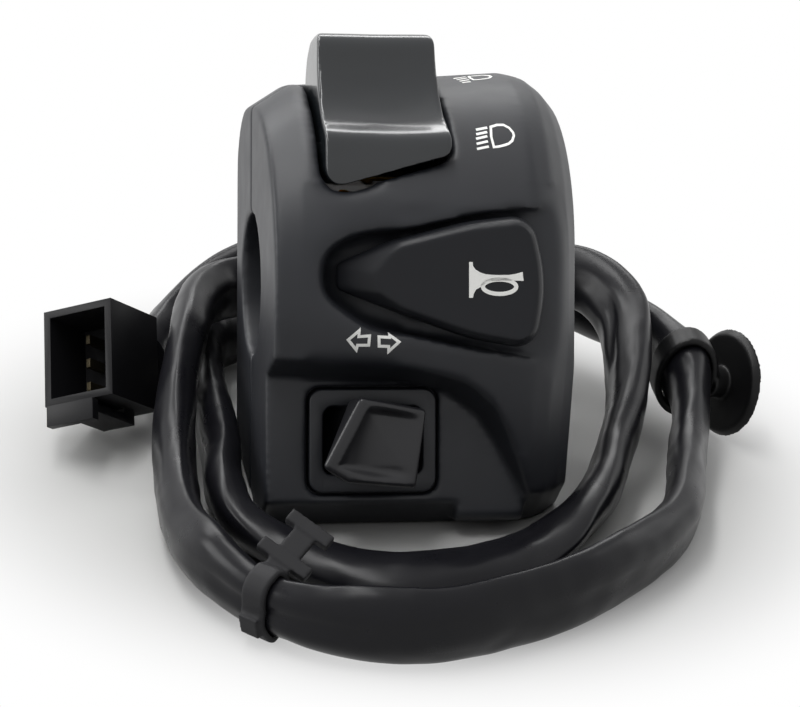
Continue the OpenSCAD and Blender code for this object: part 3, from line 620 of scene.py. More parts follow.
@dataclass
class Switches:
    """Rocker, horn button and turn knob."""

    rocker_pivot: Corner = (-6.5, -10.0, 20.97)
    rocker_half: float = 9.8
    rocker_foot: Line = ((-12.2, -11), (-15.7, -5), (-14.6, 2.2))
    rocker_lip: Line = (
        (-3.6, 16.6), (-2.6, 17.9), (0, 18.3), (4.4, 17.2), (7.6, 14.8), (8.8, 11.4), (8.8, 6))
    rocker_sag: float = 2.9
    rocker_steps: int = 12
    rocker_step: float = 0.3
    rocker_ease: int = 40
    rocker_drawn: float = 20.0
    # Depth to which the skin is cut back to the front, and height to which it is raised to it.
    rocker_snap: Flat = (1.8, 0.45)
    rocker_sideways: float = 0.6
    rocker_dish: float = 0.55
    rocker_dish_z: Flat = (-3, 16)
    rocker_wave: float = 0.16
    # Shallow waves of the front: pitch across, pitch up, seed and bias.
    rocker_wave_at: Row = (0.11, 0.3, 3.1, 0.5)
    # Size of a skin's quads and rounds of softening.
    rocker_skin: tuple[float, int] = (0.28, 8)
    horn_skin: tuple[float, int] = (0.24, 12)
    knob_skin: tuple[float, int] = (0.2, 4)
    horn_nose: float = -3.0
    # Heights of foot, face and rim, and how far under the foot the outline still holds.
    horn_levels: Corner = (2.7, 5.1, 6.2)
    horn_under: float = 1.0
    horn_edge: float = 0.8
    horn_steps: int = 8
    horn_foot: tuple[Corner, ...] = (
        (12.2, 10.4, 3.8), (2.4, 9.3, 34), (-9, 6.4, 7), (-17.4, 2.9, 1.6), (-17.4, -1, 1.6), (-7.6, -4.8, 6),
        (3, -8.5, 34), (12.9, -10.2, 3.6), (14.6, 0.4, 24))
    horn_face: tuple[Corner, ...] = (
        (11.9, 10, 3.6), (2.4, 8.9, 34), (-8.6, 6.1, 6), (-12.5, 1.6, 2.4), (-11.4, -1.8, 2.4), (-7.4, -4.4, 6),
        (3, -8.1, 34), (12.6, -9.8, 3.4), (14.2, 0.4, 24))
    knob_at: Corner = (-7.7, -18.0, -23.5)
    # Edges of the knob's face: left and right as (y, x), top and low as (x, y).
    knob_left: tuple[Flat, Flat, Flat] = ((6.5, -3.3), (-3.1, -8.1), (-5.0, -4.9))
    knob_right: tuple[Flat, Flat] = ((4.7, 6.1), (-6.0, 4.7))
    knob_top: tuple[Flat, Flat] = ((-3.3, 6.5), (6.1, 4.7))
    knob_low: tuple[Flat, Flat] = ((-4.9, -5.0), (4.7, -6.0))
    knob_rim: Corner = (1.3, 1.4, 1.8)
    knob_depth: float = 1.35
    knob_bowl: Flat = (0.8, 0.9)
    knob_facing: float = 0.5

    def rocker_profile(self) -> list[Flat]:
        """Works out the rocker's side profile, from its foot over ridge, saddle and lip.

        Returns:
            Points (y, z) about the pivot.
        """
        ridge, lip = Vector(self.rocker_foot[-1]), Vector(self.rocker_lip[0])
        along = (lip - ridge).normalized()
        dip = Vector((along.y, -along.x)) * 4 * self.rocker_sag
        shares = [k / self.rocker_steps for k in range(1, self.rocker_steps)]
        saddle = [ridge.lerp(lip, t) + dip * t * (1 - t) for t in shares]
        corners = [Vector(c) for c in self.rocker_foot] + saddle + [Vector(c) for c in self.rocker_lip]
        fine = []
        for one, two in zip(corners, corners[1:]):
            count = max(1, round((two - one).length / self.rocker_step))
            fine += [one.lerp(two, k / count) for k in range(count)]
        fine.append(corners[-1])
        for _ in range(self.rocker_ease):
            fine = [fine[0]] + [(a + 2 * b + c) / 4 for a, b, c in zip(fine, fine[1:], fine[2:])] + [fine[-1]]
        return [(p.x, p.y) for p in fine]

    def rocker_front(self, frame: Matrix) -> BVHTree:
        """Draws the profile along the bar as the rocker's smooth front.

        Args:
            frame: Place of the rocker's pivot.

        Returns:
            A search tree of the surface, in metres in the CAD frame.
        """
        bm = bmesh.new()
        verts = [bm.verts.new(Vector((-self.rocker_drawn, y, z)) * MM) for y, z in self.rocker_profile()]
        drawn = bmesh.ops.extrude_edge_only(bm, edges=[bm.edges.new(pair) for pair in zip(verts, verts[1:])])
        far = [v for v in drawn["geom"] if isinstance(v, bmesh.types.BMVert)]
        bmesh.ops.translate(bm, verts=far, vec=(2 * self.rocker_drawn * MM, 0, 0))
        bm.transform(frame)
        tree = BVHTree.FromBMesh(bm)
        bm.free()
        return tree

    def shape_rocker(self, bm: Mesh) -> None:
        """Lays the rocker's skin on its smooth front and dishes it for the thumb.

        Args:
            bm: Even skin of the rocker.
        """
        frame = LEANED @ Matrix.Translation(Vector(self.rocker_pivot) * MM)
        front, back = self.rocker_front(frame), frame.inverted()
        fine_x, fine_z, seed, bias = self.rocker_wave_at
        bm.normal_update()
        for vert in bm.verts:
            spot, normal, _, gap = front.find_nearest(vert.co, self.rocker_snap[0] * MM)
            if spot is None:
                continue
            if normal.dot(spot - frame.translation) < 0:
                normal = -normal
            on_front = abs(vert.normal.x) < self.rocker_sideways
            if (vert.co - spot).dot(normal) > 0 or (gap < self.rocker_snap[1] * MM and on_front):
                vert.co = spot
            if on_front:
                here = back @ vert.co / MM
                side = min(1.0, abs(here.x) / self.rocker_half)
                rise = max(0.0, sin(pi * ramp(here.z, *self.rocker_dish_z)))
                swell = max(0.0, bias + noise.noise(Vector((here.x * fine_x, here.z * fine_z, seed))))
                vert.co -= normal * (1 - side ** 2) * (self.rocker_dish * rise + self.rocker_wave * swell) * MM

    def shape_horn(self, bm: Mesh) -> None:
        """Rounds the horn button's outline by drawing what stands outside a smoother one inward.

        Args:
            bm: Even skin of the button.
        """
        rim = inset(self.horn_face, [self.horn_edge] * len(self.horn_face))
        foot, face, top = (
            [Vector(p) for p in rounded(ring, self.horn_steps)] for ring in (self.horn_foot, self.horn_face, rim))
        low, mid, high = self.horn_levels
        back = HORN_FRAME.inverted()
        for vert in bm.verts:
            x, y, z = back @ vert.co / MM
            if z < low - self.horn_under or x < self.horn_nose:
                continue
            one, two, share = (foot, face, ramp(z, low, mid)) if z < mid else (face, top, ramp(z, mid, high))
            ring = [a.lerp(b, share) for a, b in zip(one, two)]
            worst, push = 0.0, Vector((0, 0))
            for a, b in zip(ring, ring[1:] + ring[:1]):
                if (b - a).length < TINY_MM:
                    continue
                out = Vector((b.y - a.y, a.x - b.x)).normalized()
                if out.dot(a) < 0:
                    out = -out
                over = (Vector((x, y)) - a).dot(out)
                if over > worst:
                    worst, push = over, out * over
            vert.co = HORN_FRAME @ (Vector((x - push.x, y - push.y, z)) * MM)

    def shape_knob(self, bm: Mesh) -> None:
        """Scoops the knob's face for the thumb, between its left ridge, right edge and thin top and bottom rims.

        Args:
            bm: Even skin of the knob.
        """
        frame = LEANED @ Matrix.Translation(Vector(self.knob_at) * MM) @ FACING
        back = frame.inverted()
        out = frame.to_3x3() @ Vector((0, 0, 1))
        ridge, *rims = self.knob_rim
        bm.normal_update()
        for vert in bm.verts:
            x, y, _ = back @ vert.co / MM
            left = ridge + max(between(*pair, y) for pair in zip(self.knob_left, self.knob_left[1:]))
            across = (x - left) / (between(*self.knob_right, y) - left)
            if vert.normal.dot(out) > self.knob_facing and 0 < across < 1:
                bowl = sin(pi * across ** self.knob_bowl[0]) ** self.knob_bowl[1]
                for depth, rim in zip((between(*self.knob_top, x) - y, y - between(*self.knob_low, x)), rims):
                    share = ramp(depth, 0, rim)
                    bowl *= share * share * (3 - 2 * share)
                vert.co -= out * self.knob_depth * bowl * MM

    def skin(
        self, node: Piece, name: str, body: Body, finish: Finish, voxel: float, passes: int,
        shape: Callable[[Mesh], None],
    ) -> Piece:
        """Makes a switch part as an even, softened skin of its CAD node.

        Args:
            node: CAD node of the part.
            name: Piece name.
            body: Body that the piece rides on.
            finish: Finish of the piece.
            voxel: Size of the skin's quads.
            passes: Rounds of softening.
            shape: What is done to the skin before it is softened.

        Returns:
            The piece.
        """
        bm = remeshed(node_bmesh(node), voxel)
        shape(bm)
        soften(bm, passes)
        return stand_in(new_piece(bm, name, body, finish), node.name)

    def build(self, nodes: Nodes) -> list[Piece]:
        """Builds the switch parts.

        Args:
            nodes: CAD nodes by name.

        Returns:
            The pieces.
        """
        parts = (
            ("dimmer_rocker", "rocker", Body.DIMMER, ROCKER_ABS, *self.rocker_skin, self.shape_rocker),
            ("horn_button", "horn_key", Body.HORN, BUTTON_ABS, *self.horn_skin, self.shape_horn),
            ("turn_knob", "knob", Body.KNOB, KNOB_ABS, *self.knob_skin, self.shape_knob))
        return [self.skin(nodes[node], *rest) for node, *rest in parts]


@dataclass
class Prints:
    """Pad-printed signs of the switches, laid on the moulded skins."""

    proud: float = 0.05
    thick: float = 0.09
    grid: float = 0.3
    grid_snap: float = 1e-5
    cast_from: float = 60.0
    thin: float = 0.36
    arrow_line: float = 0.44
    beam: Line = (
        (10.28, 24.54), (11.3, 24.85), (12.32, 24.87), (13.1, 24.4), (13.55, 23.7), (13.6, 23.2), (13.2, 22.4),
        (12.6, 21.95), (11.89, 21.69), (10.9, 21.45), (10.18, 21.38), (10.05, 23))
    beam_rays: tuple[tuple[Flat, Flat], ...] = (
        ((7.91, 24.06), (9.7, 24.42)), ((7.8, 23.35), (9.55, 23.72)), ((7.65, 22.64), (9.45, 23.07)),
        ((7.6, 21.85), (9.4, 22.27)), ((7.53, 21.06), (9.4, 21.46)))
    low_beam: Line = (
        (10.2, -2.7), (12.6, -2.2), (13.4, -3), (13.6, -4), (13, -5), (11.6, -5.5), (10.4, -5.6), (10.1, -4.2))
    low_rays: tuple[tuple[Flat, Flat], ...] = (
        ((7.5, -4), (9.6, -3)), ((7.8, -5), (9.6, -4.2)), ((8.1, -6), (9.7, -5.4)), ((8.3, -6.9), (9.7, -6.6)))
    arrow_left: Line = (
        (-13.1, -7.68), (-11.45, -6.3), (-11.5, -7.2), (-9.85, -7.1), (-9.95, -8.5), (-11.65, -8.5), (-11.8, -9.2))
    arrow_right: Line = (
        (-8.4, -7.25), (-6.75, -7.35), (-6.72, -7.0), (-5.35, -8.03), (-6.85, -9.45), (-6.9, -8.7), (-8.35, -8.65))
    horn: Line = (
        (2.55, 3.2), (3.1, 3.2), (3.13, 2.62), (3.5, 2.1), (4.18, 1.67), (5, 1.4), (5.9, 1.3), (7.2, 1.27),
        (8.58, 1.3), (9.6, 1.48), (10.58, 1.75), (10.73, 0.4), (9.63, 0.45), (5.3, 0.35), (4.48, -0.42),
        (3.62, -0.9), (3.25, -1.6), (3.15, -2.14), (2.58, -2.14))
    # Middle, half width, half height and line of the horn sign's ring.
    horn_ring: Row = (7.13, -0.47, 2.5, 1.08, 0.62)
    ring_steps: int = 28

    def patch(self, bm: Mesh, points: Sequence[Flat], stroke: float = 0.0) -> None:
        """Adds an outline to a flat sign, filled or as a line along it.

        Args:
            bm: Sign in millimetres.
            points: Corners of the outline.
            stroke: Width of the line, or 0 for a filled sign.
        """
        if not stroke:
            bm.faces.new([bm.verts.new((x, y, 0)) for x, y in points])
            return
        area = sum(a[0] * b[1] - a[1] * b[0] for a, b in zip(points, [*points[1:], points[0]]))
        around = [(x, y, 0.0) for x, y in (points if area > 0 else reversed(points))]
        edges = []
        for side in (-1, 1):
            ring = inset(around, [side * stroke / 2] * len(around))
            edges += loop_edges(bm, [Vector((x, y, 0)) for x, y, _ in ring])
        bmesh.ops.bridge_loops(bm, edges=edges)

    def ray(self, bm: Mesh, ends: tuple[Flat, Flat]) -> None:
        """Adds one straight line to a flat sign.

        Args:
            bm: Sign in millimetres.
            ends: Both ends of the line.
        """
        one, two = Vector(ends[0]), Vector(ends[1])
        out = (two - one).orthogonal().normalized() * self.thin / 2
        self.patch(bm, [tuple(p) for p in (one - out, two - out, two + out, one + out)])

    def lay(self, bm: Mesh, name: str, frame: Matrix, host: Piece, body: Body) -> Piece:
        """Casts a flat sign onto a piece and gives it the thickness of the ink.

        Args:
            bm: Flat sign in millimetres, which is freed.
            name: Piece name.
            frame: Place of the sign's plane; it is cast against the plane's z.
            host: Piece that carries the sign.
            body: Body that the piece rides on.

        Returns:
            The piece.
        """
        for axis, way in enumerate((Vector((1, 0, 0)), Vector((0, 1, 0)))):
            low, high = (f(v.co[axis] for v in bm.verts) for f in (min, max))
            for k in range(1, ceil((high - low) / self.grid)):
                bmesh.ops.bisect_plane(
                    bm, geom=bm.verts[:] + bm.edges[:] + bm.faces[:], plane_co=way * (low + k * self.grid),
                    plane_no=way, dist=self.grid_snap)
        tree = BVHTree.FromPolygons(
            [v.co for v in host.data.vertices], [tuple(f.vertices) for f in host.data.polygons])
        out = (frame.to_3x3() @ Vector((0, 0, 1))).normalized()
        for vert in bm.verts:
            spot = tree.ray_cast(frame @ (vert.co * MM) + out * self.cast_from * MM, -out)[0]
            if spot is None:
                raise ValueError(f"{name} misses its carrier")
            vert.co = spot + out * self.proud * MM
        bmesh.ops.recalc_face_normals(bm, faces=bm.faces)
        bm.normal_update()
        if sum(f.normal.dot(out) for f in bm.faces) < 0:
            bmesh.ops.reverse_faces(bm, faces=bm.faces)
        under = bmesh.ops.extrude_face_region(bm, geom=bm.faces[:], use_keep_orig=True)
        low = [v for v in under["geom"] if isinstance(v, bmesh.types.BMVert)]
        bmesh.ops.translate(bm, verts=low, vec=-out * self.thick * MM)
        bmesh.ops.recalc_face_normals(bm, faces=bm.faces)
        return new_piece(bm, name, body, PRINT_INK, sharp_deg=60)

    def build(self, housing: Piece, horn_key: Piece) -> list[Piece]:
        """Builds the signs.

        Args:
            housing: Front half of the housing.
            horn_key: Horn button.

        Returns:
            The pieces.
        """
        x, y, wide, tall, line = self.horn_ring
        turns = [2 * pi * k / self.ring_steps for k in range(self.ring_steps)]
        ring = [(x + wide * cos(a), y + tall * sin(a)) for a in turns]
        arrows = [(a, self.arrow_line) for a in (self.arrow_left, self.arrow_right)]
        on_housing, on_key = (housing, Body.HOUSING), (horn_key, Body.HORN)
        signs = (
            ("sign_high_beam", LEANED @ FACING, on_housing, [(self.beam, self.thin)], self.beam_rays),
            ("sign_low_beam", LEANED, on_housing, [(self.low_beam, self.thin)], self.low_rays),
            ("sign_arrows", LEANED @ FACING, on_housing, arrows, ()),
            ("sign_horn", HORN_FRAME, on_key, [(self.horn, 0.0), (ring, line)], ()))
        pieces = []
        for name, frame, carrier, outlines, rays in signs:
            bm = bmesh.new()
            for points, stroke in outlines:
                self.patch(bm, points, stroke)
            for ends in rays:
                self.ray(bm, ends)
            pieces.append(self.lay(bm, name, frame, *carrier))
        return pieces


@dataclass
class Harness:
    """Flattened PVC sleeve looped round the housing, with its stepped rubber strap."""

    height: float = 11.4
    thick: float = 7.0
    lie_z: float = -25.25
    layer: float = 12.0
    spread: float = 28.4 / 28.2
    exit_pt: Corner = (12.0, 19.54, -23.5)
    # Points before and after the exit: distances inside the housing and the first point outside, above the lay.
    inside: Flat = (11.2, 3.0)
    outside: Corner = (12.0, 24.54, 0.3)
    turn_centre: Flat = (-8.2, 25.0)
    turn_r: float = 20.2
    turn_points: int = 7
    turn_step: float = 22.5
    lift: float = 0.05
    sides: int = 40
    step: float = 1.0
    smooth_steps: int = 16
    strap_at: int = 40
    clip_at: int = 50
    # Shares of height and thickness: at rest, where it swells, in the strap and in the tie clip.
    tall_mix: Row = (0.98, 0.08, -0.18, 0.13)
    wide_mix: Row = (0.97, 0.0, -0.2, 0.2)
    # Long crease: depth, pitch, width, seed and bias. Lumps: size, pitch along, pitch round and seed.
    crease: Row = (0.34, 0.034, 0.2, 7.3, 0.1)
    lumps: tuple[Row, ...] = ((0.5, 0.06, 1.2, 0.0), (0.16, 0.24, 2.1, 4.0))
    lump_rise: float = 0.6
    slack: Flat = (0.12, 0.05)
    roundness: Corner = (1.2, 0.25, 0.96)
    # Reach of the strap's pull and of the clip, where the swelling starts, and how far it lifts the section.
    pull_reach: float = 8.5
    clip_reach: float = 5.0
    swell_gap: Flat = (9, 21)
    swell_front: Flat = (40, 52)
    swell_lift: float = 0.04
    strap_drop: float = 2.4
    strap_voxel: float = 0.2
    strap_passes: int = 4
    strap_rim: Line = ((-2.1, 0.15), (-2.1, 0.9), (-1.8, 1.2), (1.8, 1.2), (2.1, 0.9), (2.1, 0.15))
    # Tail, cross bars and tab: place (side, up, along), tip and twist in degrees, size.
    strap_bars: tuple[tuple[Corner, float, float, Corner], ...] = (
        ((1.2, 4.4, 4.0), 28, 26, (10.6, 3.6, 1.2)), ((1.2, 4.4, 2.6), 28, 26, (2.1, 8.6, 1.6)),
        ((1.2, 4.4, 8.6), 28, 26, (2.1, 7.4, 1.6)), ((-3.2, -2.8, -0.4), -74, 0, (3.2, 3.4, 0.9)))
    # Course round the housing: x, y, height in layers and, where it leans outward, the lean in degrees.
    lay: tuple[Row, ...] = (
        (-28.2, 13, 0), (-28.2, 0, 0), (-28.6, -11.5, 0), (-29.4, -22.5, 0, 10), (-26.6, -33.8, 0, 48),
        (-17.6, -43, 0, 85), (-7, -48.4, 0, 90), (5, -46.6, 0, 90), (15.6, -40.6, 0, 75), (23.2, -32.6, 0, 45),
        (29, -24.2, 0.02, 20), (33.4, -14, 0.16, 8), (37.6, -4, 0.46, 14), (40, 6.6, 0.84, 26),
        (41, 17.4, 1.16, 36), (37.6, 27, 1.28, 20), (30, 33, 1.2), (19, 34.6, 1.08), (6, 34.2, 1.02),
        (-6, 34.2, 1), (-16.5, 34, 1), (-25, 31, 1), (-29.6, 23, 1), (-32, 12.4, 0.92), (-34.6, 1.2, 0.64),
        (-36.2, -11, 0.28), (-37, -23, 0.05), (-36.8, -36, 0), (-33.8, -49.4, 0.1), (-27.6, -60.2, 0.22),
        (-18.2, -66.6, 0.08), (-6, -68.4, 0), (6.4, -64.2, 0), (18.6, -57, 0), (29.4, -47.2, 0),
        (37.9, -36.4, 0), (42.3, -25.2, 0), (45.6, -13.8, 0.04), (49, -2.4, 0.26), (50.6, 9, 0.5),
        (48.2, 20.4, 0.62), (43, 31.2, 0.6), (36, 40.8, 0.62), (27, 47.2, 0.72), (16, 50, 0.86),
        (5, 50.4, 0.95), (-6, 50.4, 0.94), (-15.8, 49.8, 0.76), (-24.8, 47.4, 0.42),
        (-31.4, 42, 0.1), (-35.2, 34.6, 0.02), (-37.2, 27.6, 0.02))

    def route(self) -> list[Vector]:
        """Gives the route from inside the housing to the connector's wires.

        Returns:
            Points (x, y, z, lean) with the place in metres and the outward lean of the section in degrees.
        """
        start = Vector(self.exit_pt)
        out = Vector((0, cos(LEAN), -sin(LEAN)))
        x, y, above = self.outside
        points = [*(start - out * run for run in self.inside), start, Vector((x, y, self.lie_z + above))]
        for i in range(1, self.turn_points + 1):
            a = radians(self.turn_step * i)
            points.append(Vector((
                self.turn_centre[0] + self.turn_r * cos(a), self.turn_centre[1] + self.turn_r * sin(a),
                self.lie_z)))
        leans = [0.0] * len(points)
        for x, y, share, *lean in self.lay:
            leans.append(lean[0] if lean else 0.0)
            turn = radians(leans[-1])
            half = hypot(self.height / 2 * cos(turn), self.thick / 2 * sin(turn))
            points.append(Vector((x * self.spread, y, FLOOR_Z + half + self.lift + share * self.layer)))
        return [Vector((*(p * MM), lean)) for p, lean in zip(points, leans)]

    def centreline(self) -> list[Vector]:
        """Resamples the route as one smooth curve with even steps.

        Returns:
            Points (x, y, z, lean) as in the route.
        """
        p = self.route()
        fine = []
        for i in range(len(p) - 1):
            a, b, c, d = p[max(i - 1, 0)], p[i], p[i + 1], p[min(i + 2, len(p) - 1)]
            for k in range(self.smooth_steps):
                t = k / self.smooth_steps
                fine.append(0.5 * (
                    2 * b + (c - a) * t + (2 * a - 5 * b + 4 * c - d) * t ** 2 + (3 * b - a - 3 * c + d) * t ** 3))
        fine.append(p[-1])
        run = [0.0]
        for a, b in zip(fine, fine[1:]):
            run.append(run[-1] + (b.xyz - a.xyz).length)
        count = round(run[-1] / (self.step * MM))
        even, j = [], 0
        for i in range(count + 1):
            want = run[-1] * i / count
            while j < len(run) - 2 and run[j + 1] < want:
                j += 1
            share = (want - run[j]) / max(run[j + 1] - run[j], 1e-9)
            even.append(fine[j].lerp(fine[j + 1], min(1.0, share)))
        return even

    def axes(self, line: list[Vector], i: int) -> tuple[Vector, Vector]:
        """Finds how the section stands at a point of the centreline.

        Args:
            line: The centreline.
            i: Index of the point.

        Returns:
            The section's side and up direction.
        """
        ahead = (line[min(i + 1, len(line) - 1)].xyz - line[max(i - 1, 0)].xyz).normalized()
        side = Vector((0, 0, 1)).cross(ahead).normalized()
        up = ahead.cross(side)
        lean = radians(line[i].w)
        return side * cos(lean) + up * sin(lean), up * cos(lean) - side * sin(lean)

    def section(self, run: float, squeeze: float, swell: float, fill: float = 0.0) -> list[Flat]:
        """Shapes the flattened tube at one place: slack PVC over a bundle of wires.

        Args:
            run: Distance along the sleeve.
            squeeze: Share by which the strap pulls the section together here, 0 to 1.
            swell: Share by which the slack sleeve stands taller here, 0 to 1.
            fill: Share by which the bunched sleeve fills the tie clip here, 0 to 1.

        Returns:
            Points (side, up).
        """
        tall, wide = (
            size * (rest + slack * swell + pull * squeeze + bunch * fill)
            for size, (rest, slack, pull, bunch) in ((self.height, self.tall_mix), (self.thick, self.wide_mix)))
        depth, pitch, breadth, place, bias = self.crease
        crease = depth * max(0.0, noise.noise(Vector((run * pitch, place, 0.0))) + bias)
        flat, filled, crown = self.roundness
        points = []
        for j in range(self.sides):
            a = 2 * pi * j / self.sides
            c, s = cos(a), sin(a)
            x, y = copysign(abs(c) ** (flat - filled * fill), c), copysign(abs(s) ** crown, s)
            lump = sum(
                size * noise.noise(Vector((run * along, c * around, s * around + seed)))
                for size, along, around, seed in self.lumps)
            x -= copysign(crease * exp(-(y / breadth) ** 2), c) * abs(c)
            points.append((
                x * (wide / 2 + lump - self.slack[0]), y * (tall / 2 + self.lump_rise * lump - self.slack[1])))
        return points

    def sleeve(self) -> Piece:
        """Makes the sleeve as a closed tube that lies on its route.

        Returns:
            The piece.
        """
        line, route = self.centreline(), self.route()
        strap, clip = route[self.strap_at].xyz, route[self.clip_at].xyz
        bm = bmesh.new()
        uv = bm.loops.layers.uv.new("UVMap")
        rings = []
        for i, spot in enumerate(line):
            side, up = self.axes(line, i)
            gap = (spot.xyz - strap).length / MM
            squeeze = exp(-(gap / self.pull_reach) ** 2)
            swell = ramp(gap, *self.swell_gap) * ramp(-spot.y / MM, *self.swell_front)
            fill = exp(-((spot.xyz - clip).length / (self.clip_reach * MM)) ** 2)
            shift = self.swell_lift * swell * self.height - self.strap_drop * squeeze
            ring = []
            for x, y in self.section(i * self.step, squeeze, swell, fill):
                co = spot.xyz + (side * x + up * (y + shift)) * MM
                co.z = max(co.z, REST_Z)
                ring.append(bm.verts.new(co))
            rings.append(ring)
        for i, (one, two) in enumerate(zip(rings, rings[1:])):
            for j in range(self.sides):
                k = (j + 1) % self.sides
                face = bm.faces.new((one[j], one[k], two[k], two[j]))
                for loop, (u, v) in zip(face.loops, ((j, i), (j + 1, i), (j + 1, i + 1), (j, i + 1))):
                    loop[uv].uv = (u / self.sides, v * self.step * MM)
        bm.faces.new(list(reversed(rings[0])))
        bm.faces.new(rings[-1])
        bmesh.ops.recalc_face_normals(bm, faces=bm.faces)
        piece = new_piece(bm, "sleeve", Body.HOUSING, SLEEVE_PVC, sharp_deg=60)
        return stand_in(piece, "harness_sleeve")

    def strap(self) -> Piece:
        """Makes the stepped rubber strap: a band pulled tight round the sleeve, with its tail and cross bars.

        Returns:
            The piece.
        """
        line = self.centreline()
        spot = self.route()[self.strap_at].xyz
        i = min(range(len(line)), key=lambda k: (line[k].xyz - spot).length)
        side, up = self.axes(line, i)
        ahead = side.cross(up)
        hold = [Vector(p) for p in self.section(i * self.step, 1.0, 0.0)]
        bm = bmesh.new()
        loops = []
        for run, off in self.strap_rim:
            ring = [p + p.normalized() * off for p in hold]
            loops.append(loop_edges(bm, [(ahead * run + side * p.x + up * p.y) * MM for p in ring]))
        for one, two in zip(loops, [*loops[1:], loops[0]]):
            bmesh.ops.bridge_loops(bm, edges=one + two)
        bmesh.ops.recalc_face_normals(bm, faces=bm.faces)
        axes = Matrix((side, ahead, -up)).transposed().to_4x4()
        for place, tip, twist, size in self.strap_bars:
            turn = Matrix.Rotation(radians(tip), 4, "Y") @ Matrix.Rotation(radians(twist), 4, "X")
            shift = Matrix.Translation((Vector((place[0], 0, -place[1]))) * MM)
            scale = Matrix.Diagonal((*(Vector(size) * MM), 1))
            along = Matrix.Translation((place[2] * MM, 0, 0))
            bmesh.ops.create_cube(bm, size=1.0, matrix=axes @ shift @ turn @ along @ scale)
        bmesh.ops.recalc_face_normals(bm, faces=bm.faces)
        bmesh.ops.translate(bm, verts=bm.verts, vec=line[i].xyz - up * self.strap_drop * MM)
        skin = remeshed(bm, self.strap_voxel)
        soften(skin, self.strap_passes)
        for vert in skin.verts:
            vert.co.z = max(vert.co.z, REST_Z)
        return stand_in(new_piece(skin, "strap", Body.HOUSING, STRAP_EPDM), "harness_strap")

    def build(self, nodes: Nodes, mouldings: Sequence[Piece]) -> list[Piece]:
        """Args:
            nodes: CAD nodes by name. Not used.
            mouldings: Tie clip and connector that are on the sleeve. Not used.

        Returns:
            The pieces.
        """
        piece, strap = self.sleeve(), self.strap()
        line = [p.xyz for p in self.centreline()]
        return [piece, strap]


@dataclass
class SmallMouldings:
    """Tie clip, connector shell and bezel: clean copies of their CAD nodes with moulded edges."""

    clip_voxel: float = 0.2
    clip_passes: int = 12
    edge: float = 0.35
    sharp_deg: float = 50.0

    def build(self, nodes: Nodes) -> list[Piece]:
        """Builds the mouldings.

        Args:
            nodes: CAD nodes by name.

        Returns:
            The pieces, tie clip and connector first.
        """
        clip = remeshed(node_bmesh(nodes["push_clip"]), self.clip_voxel)
        soften(clip, self.clip_passes)
        shell, bezel = node_bmesh(nodes["connector_shell"]), node_bmesh(nodes["turn_bezel"])
        for bm in (shell, bezel):
            bevel_sharp(bm, self.edge)
        return [
            stand_in(new_piece(bm, name, Body.HOUSING, finish, self.sharp_deg), node)
            for bm, name, finish, node, slot in (
                (clip, "tie_clip", CLIP_NYLON, "push_clip", Slot.CLIP),
                (shell, "connector", CONNECTOR_NYLON, "connector_shell", Slot.CLIP),
                (bezel, "bezel", HOUSING_ABS, "turn_bezel", Slot.HOUSING))]


@dataclass
class InnerWorks:
    """CAD nodes that keep their shape: bases, contacts, pins, screws, wires and small parts."""

    finishes: dict[str, Finish] = field(default_factory=lambda: {
        "housing_screws": PIN_STEEL, "grommet": STRAP_EPDM, "inner_wires": WIRE_PVC, "dimmer_pin": PIN_STEEL,
        "dimmer_base": BASE_PHENOLIC, "dimmer_contacts": CONTACT_BRASS, "dimmer_bridge": CONTACT_BRASS,
        "horn_bridge": CONTACT_BRASS, "horn_base": BASE_PHENOLIC, "horn_contacts": CONTACT_BRASS,
        "horn_screws": PIN_STEEL, "turn_base": BASE_PHENOLIC, "turn_carrier": HOUSING_ABS,
        "turn_pin": PIN_STEEL, "turn_wiper": CONTACT_BRASS, "turn_contacts": CONTACT_BRASS,
        "connector_terminals": TERMINAL_TIN_PAINTED_SHADE, "connector_wires": WIRE_PVC})
    merge: float = 0.001
    edge: float = 0.2
    edge_steps: int = 2
    edge_angle: float = 35.0

    def dress(self, nodes: Nodes) -> list[Piece]:
        """Gives the nodes their finishes and softened edges.

        Args:
            nodes: CAD nodes by name.

        Returns:
            The dressed nodes.
        """
        done = []
        for name, finish in self.finishes.items():
            node = nodes[name]
            node.data.materials.clear()
            node.data.materials.append(finish.material())
            node.modifiers.new("weld", "WELD").merge_threshold = self.merge * MM
            round_off = node.modifiers.new("edges", "BEVEL")
            round_off.width = self.edge * MM
            round_off.segments = self.edge_steps
            round_off.limit_method = "ANGLE"
            round_off.angle_limit = radians(self.edge_angle)
            round_off.harden_normals = False
            done.append(node)
        return done


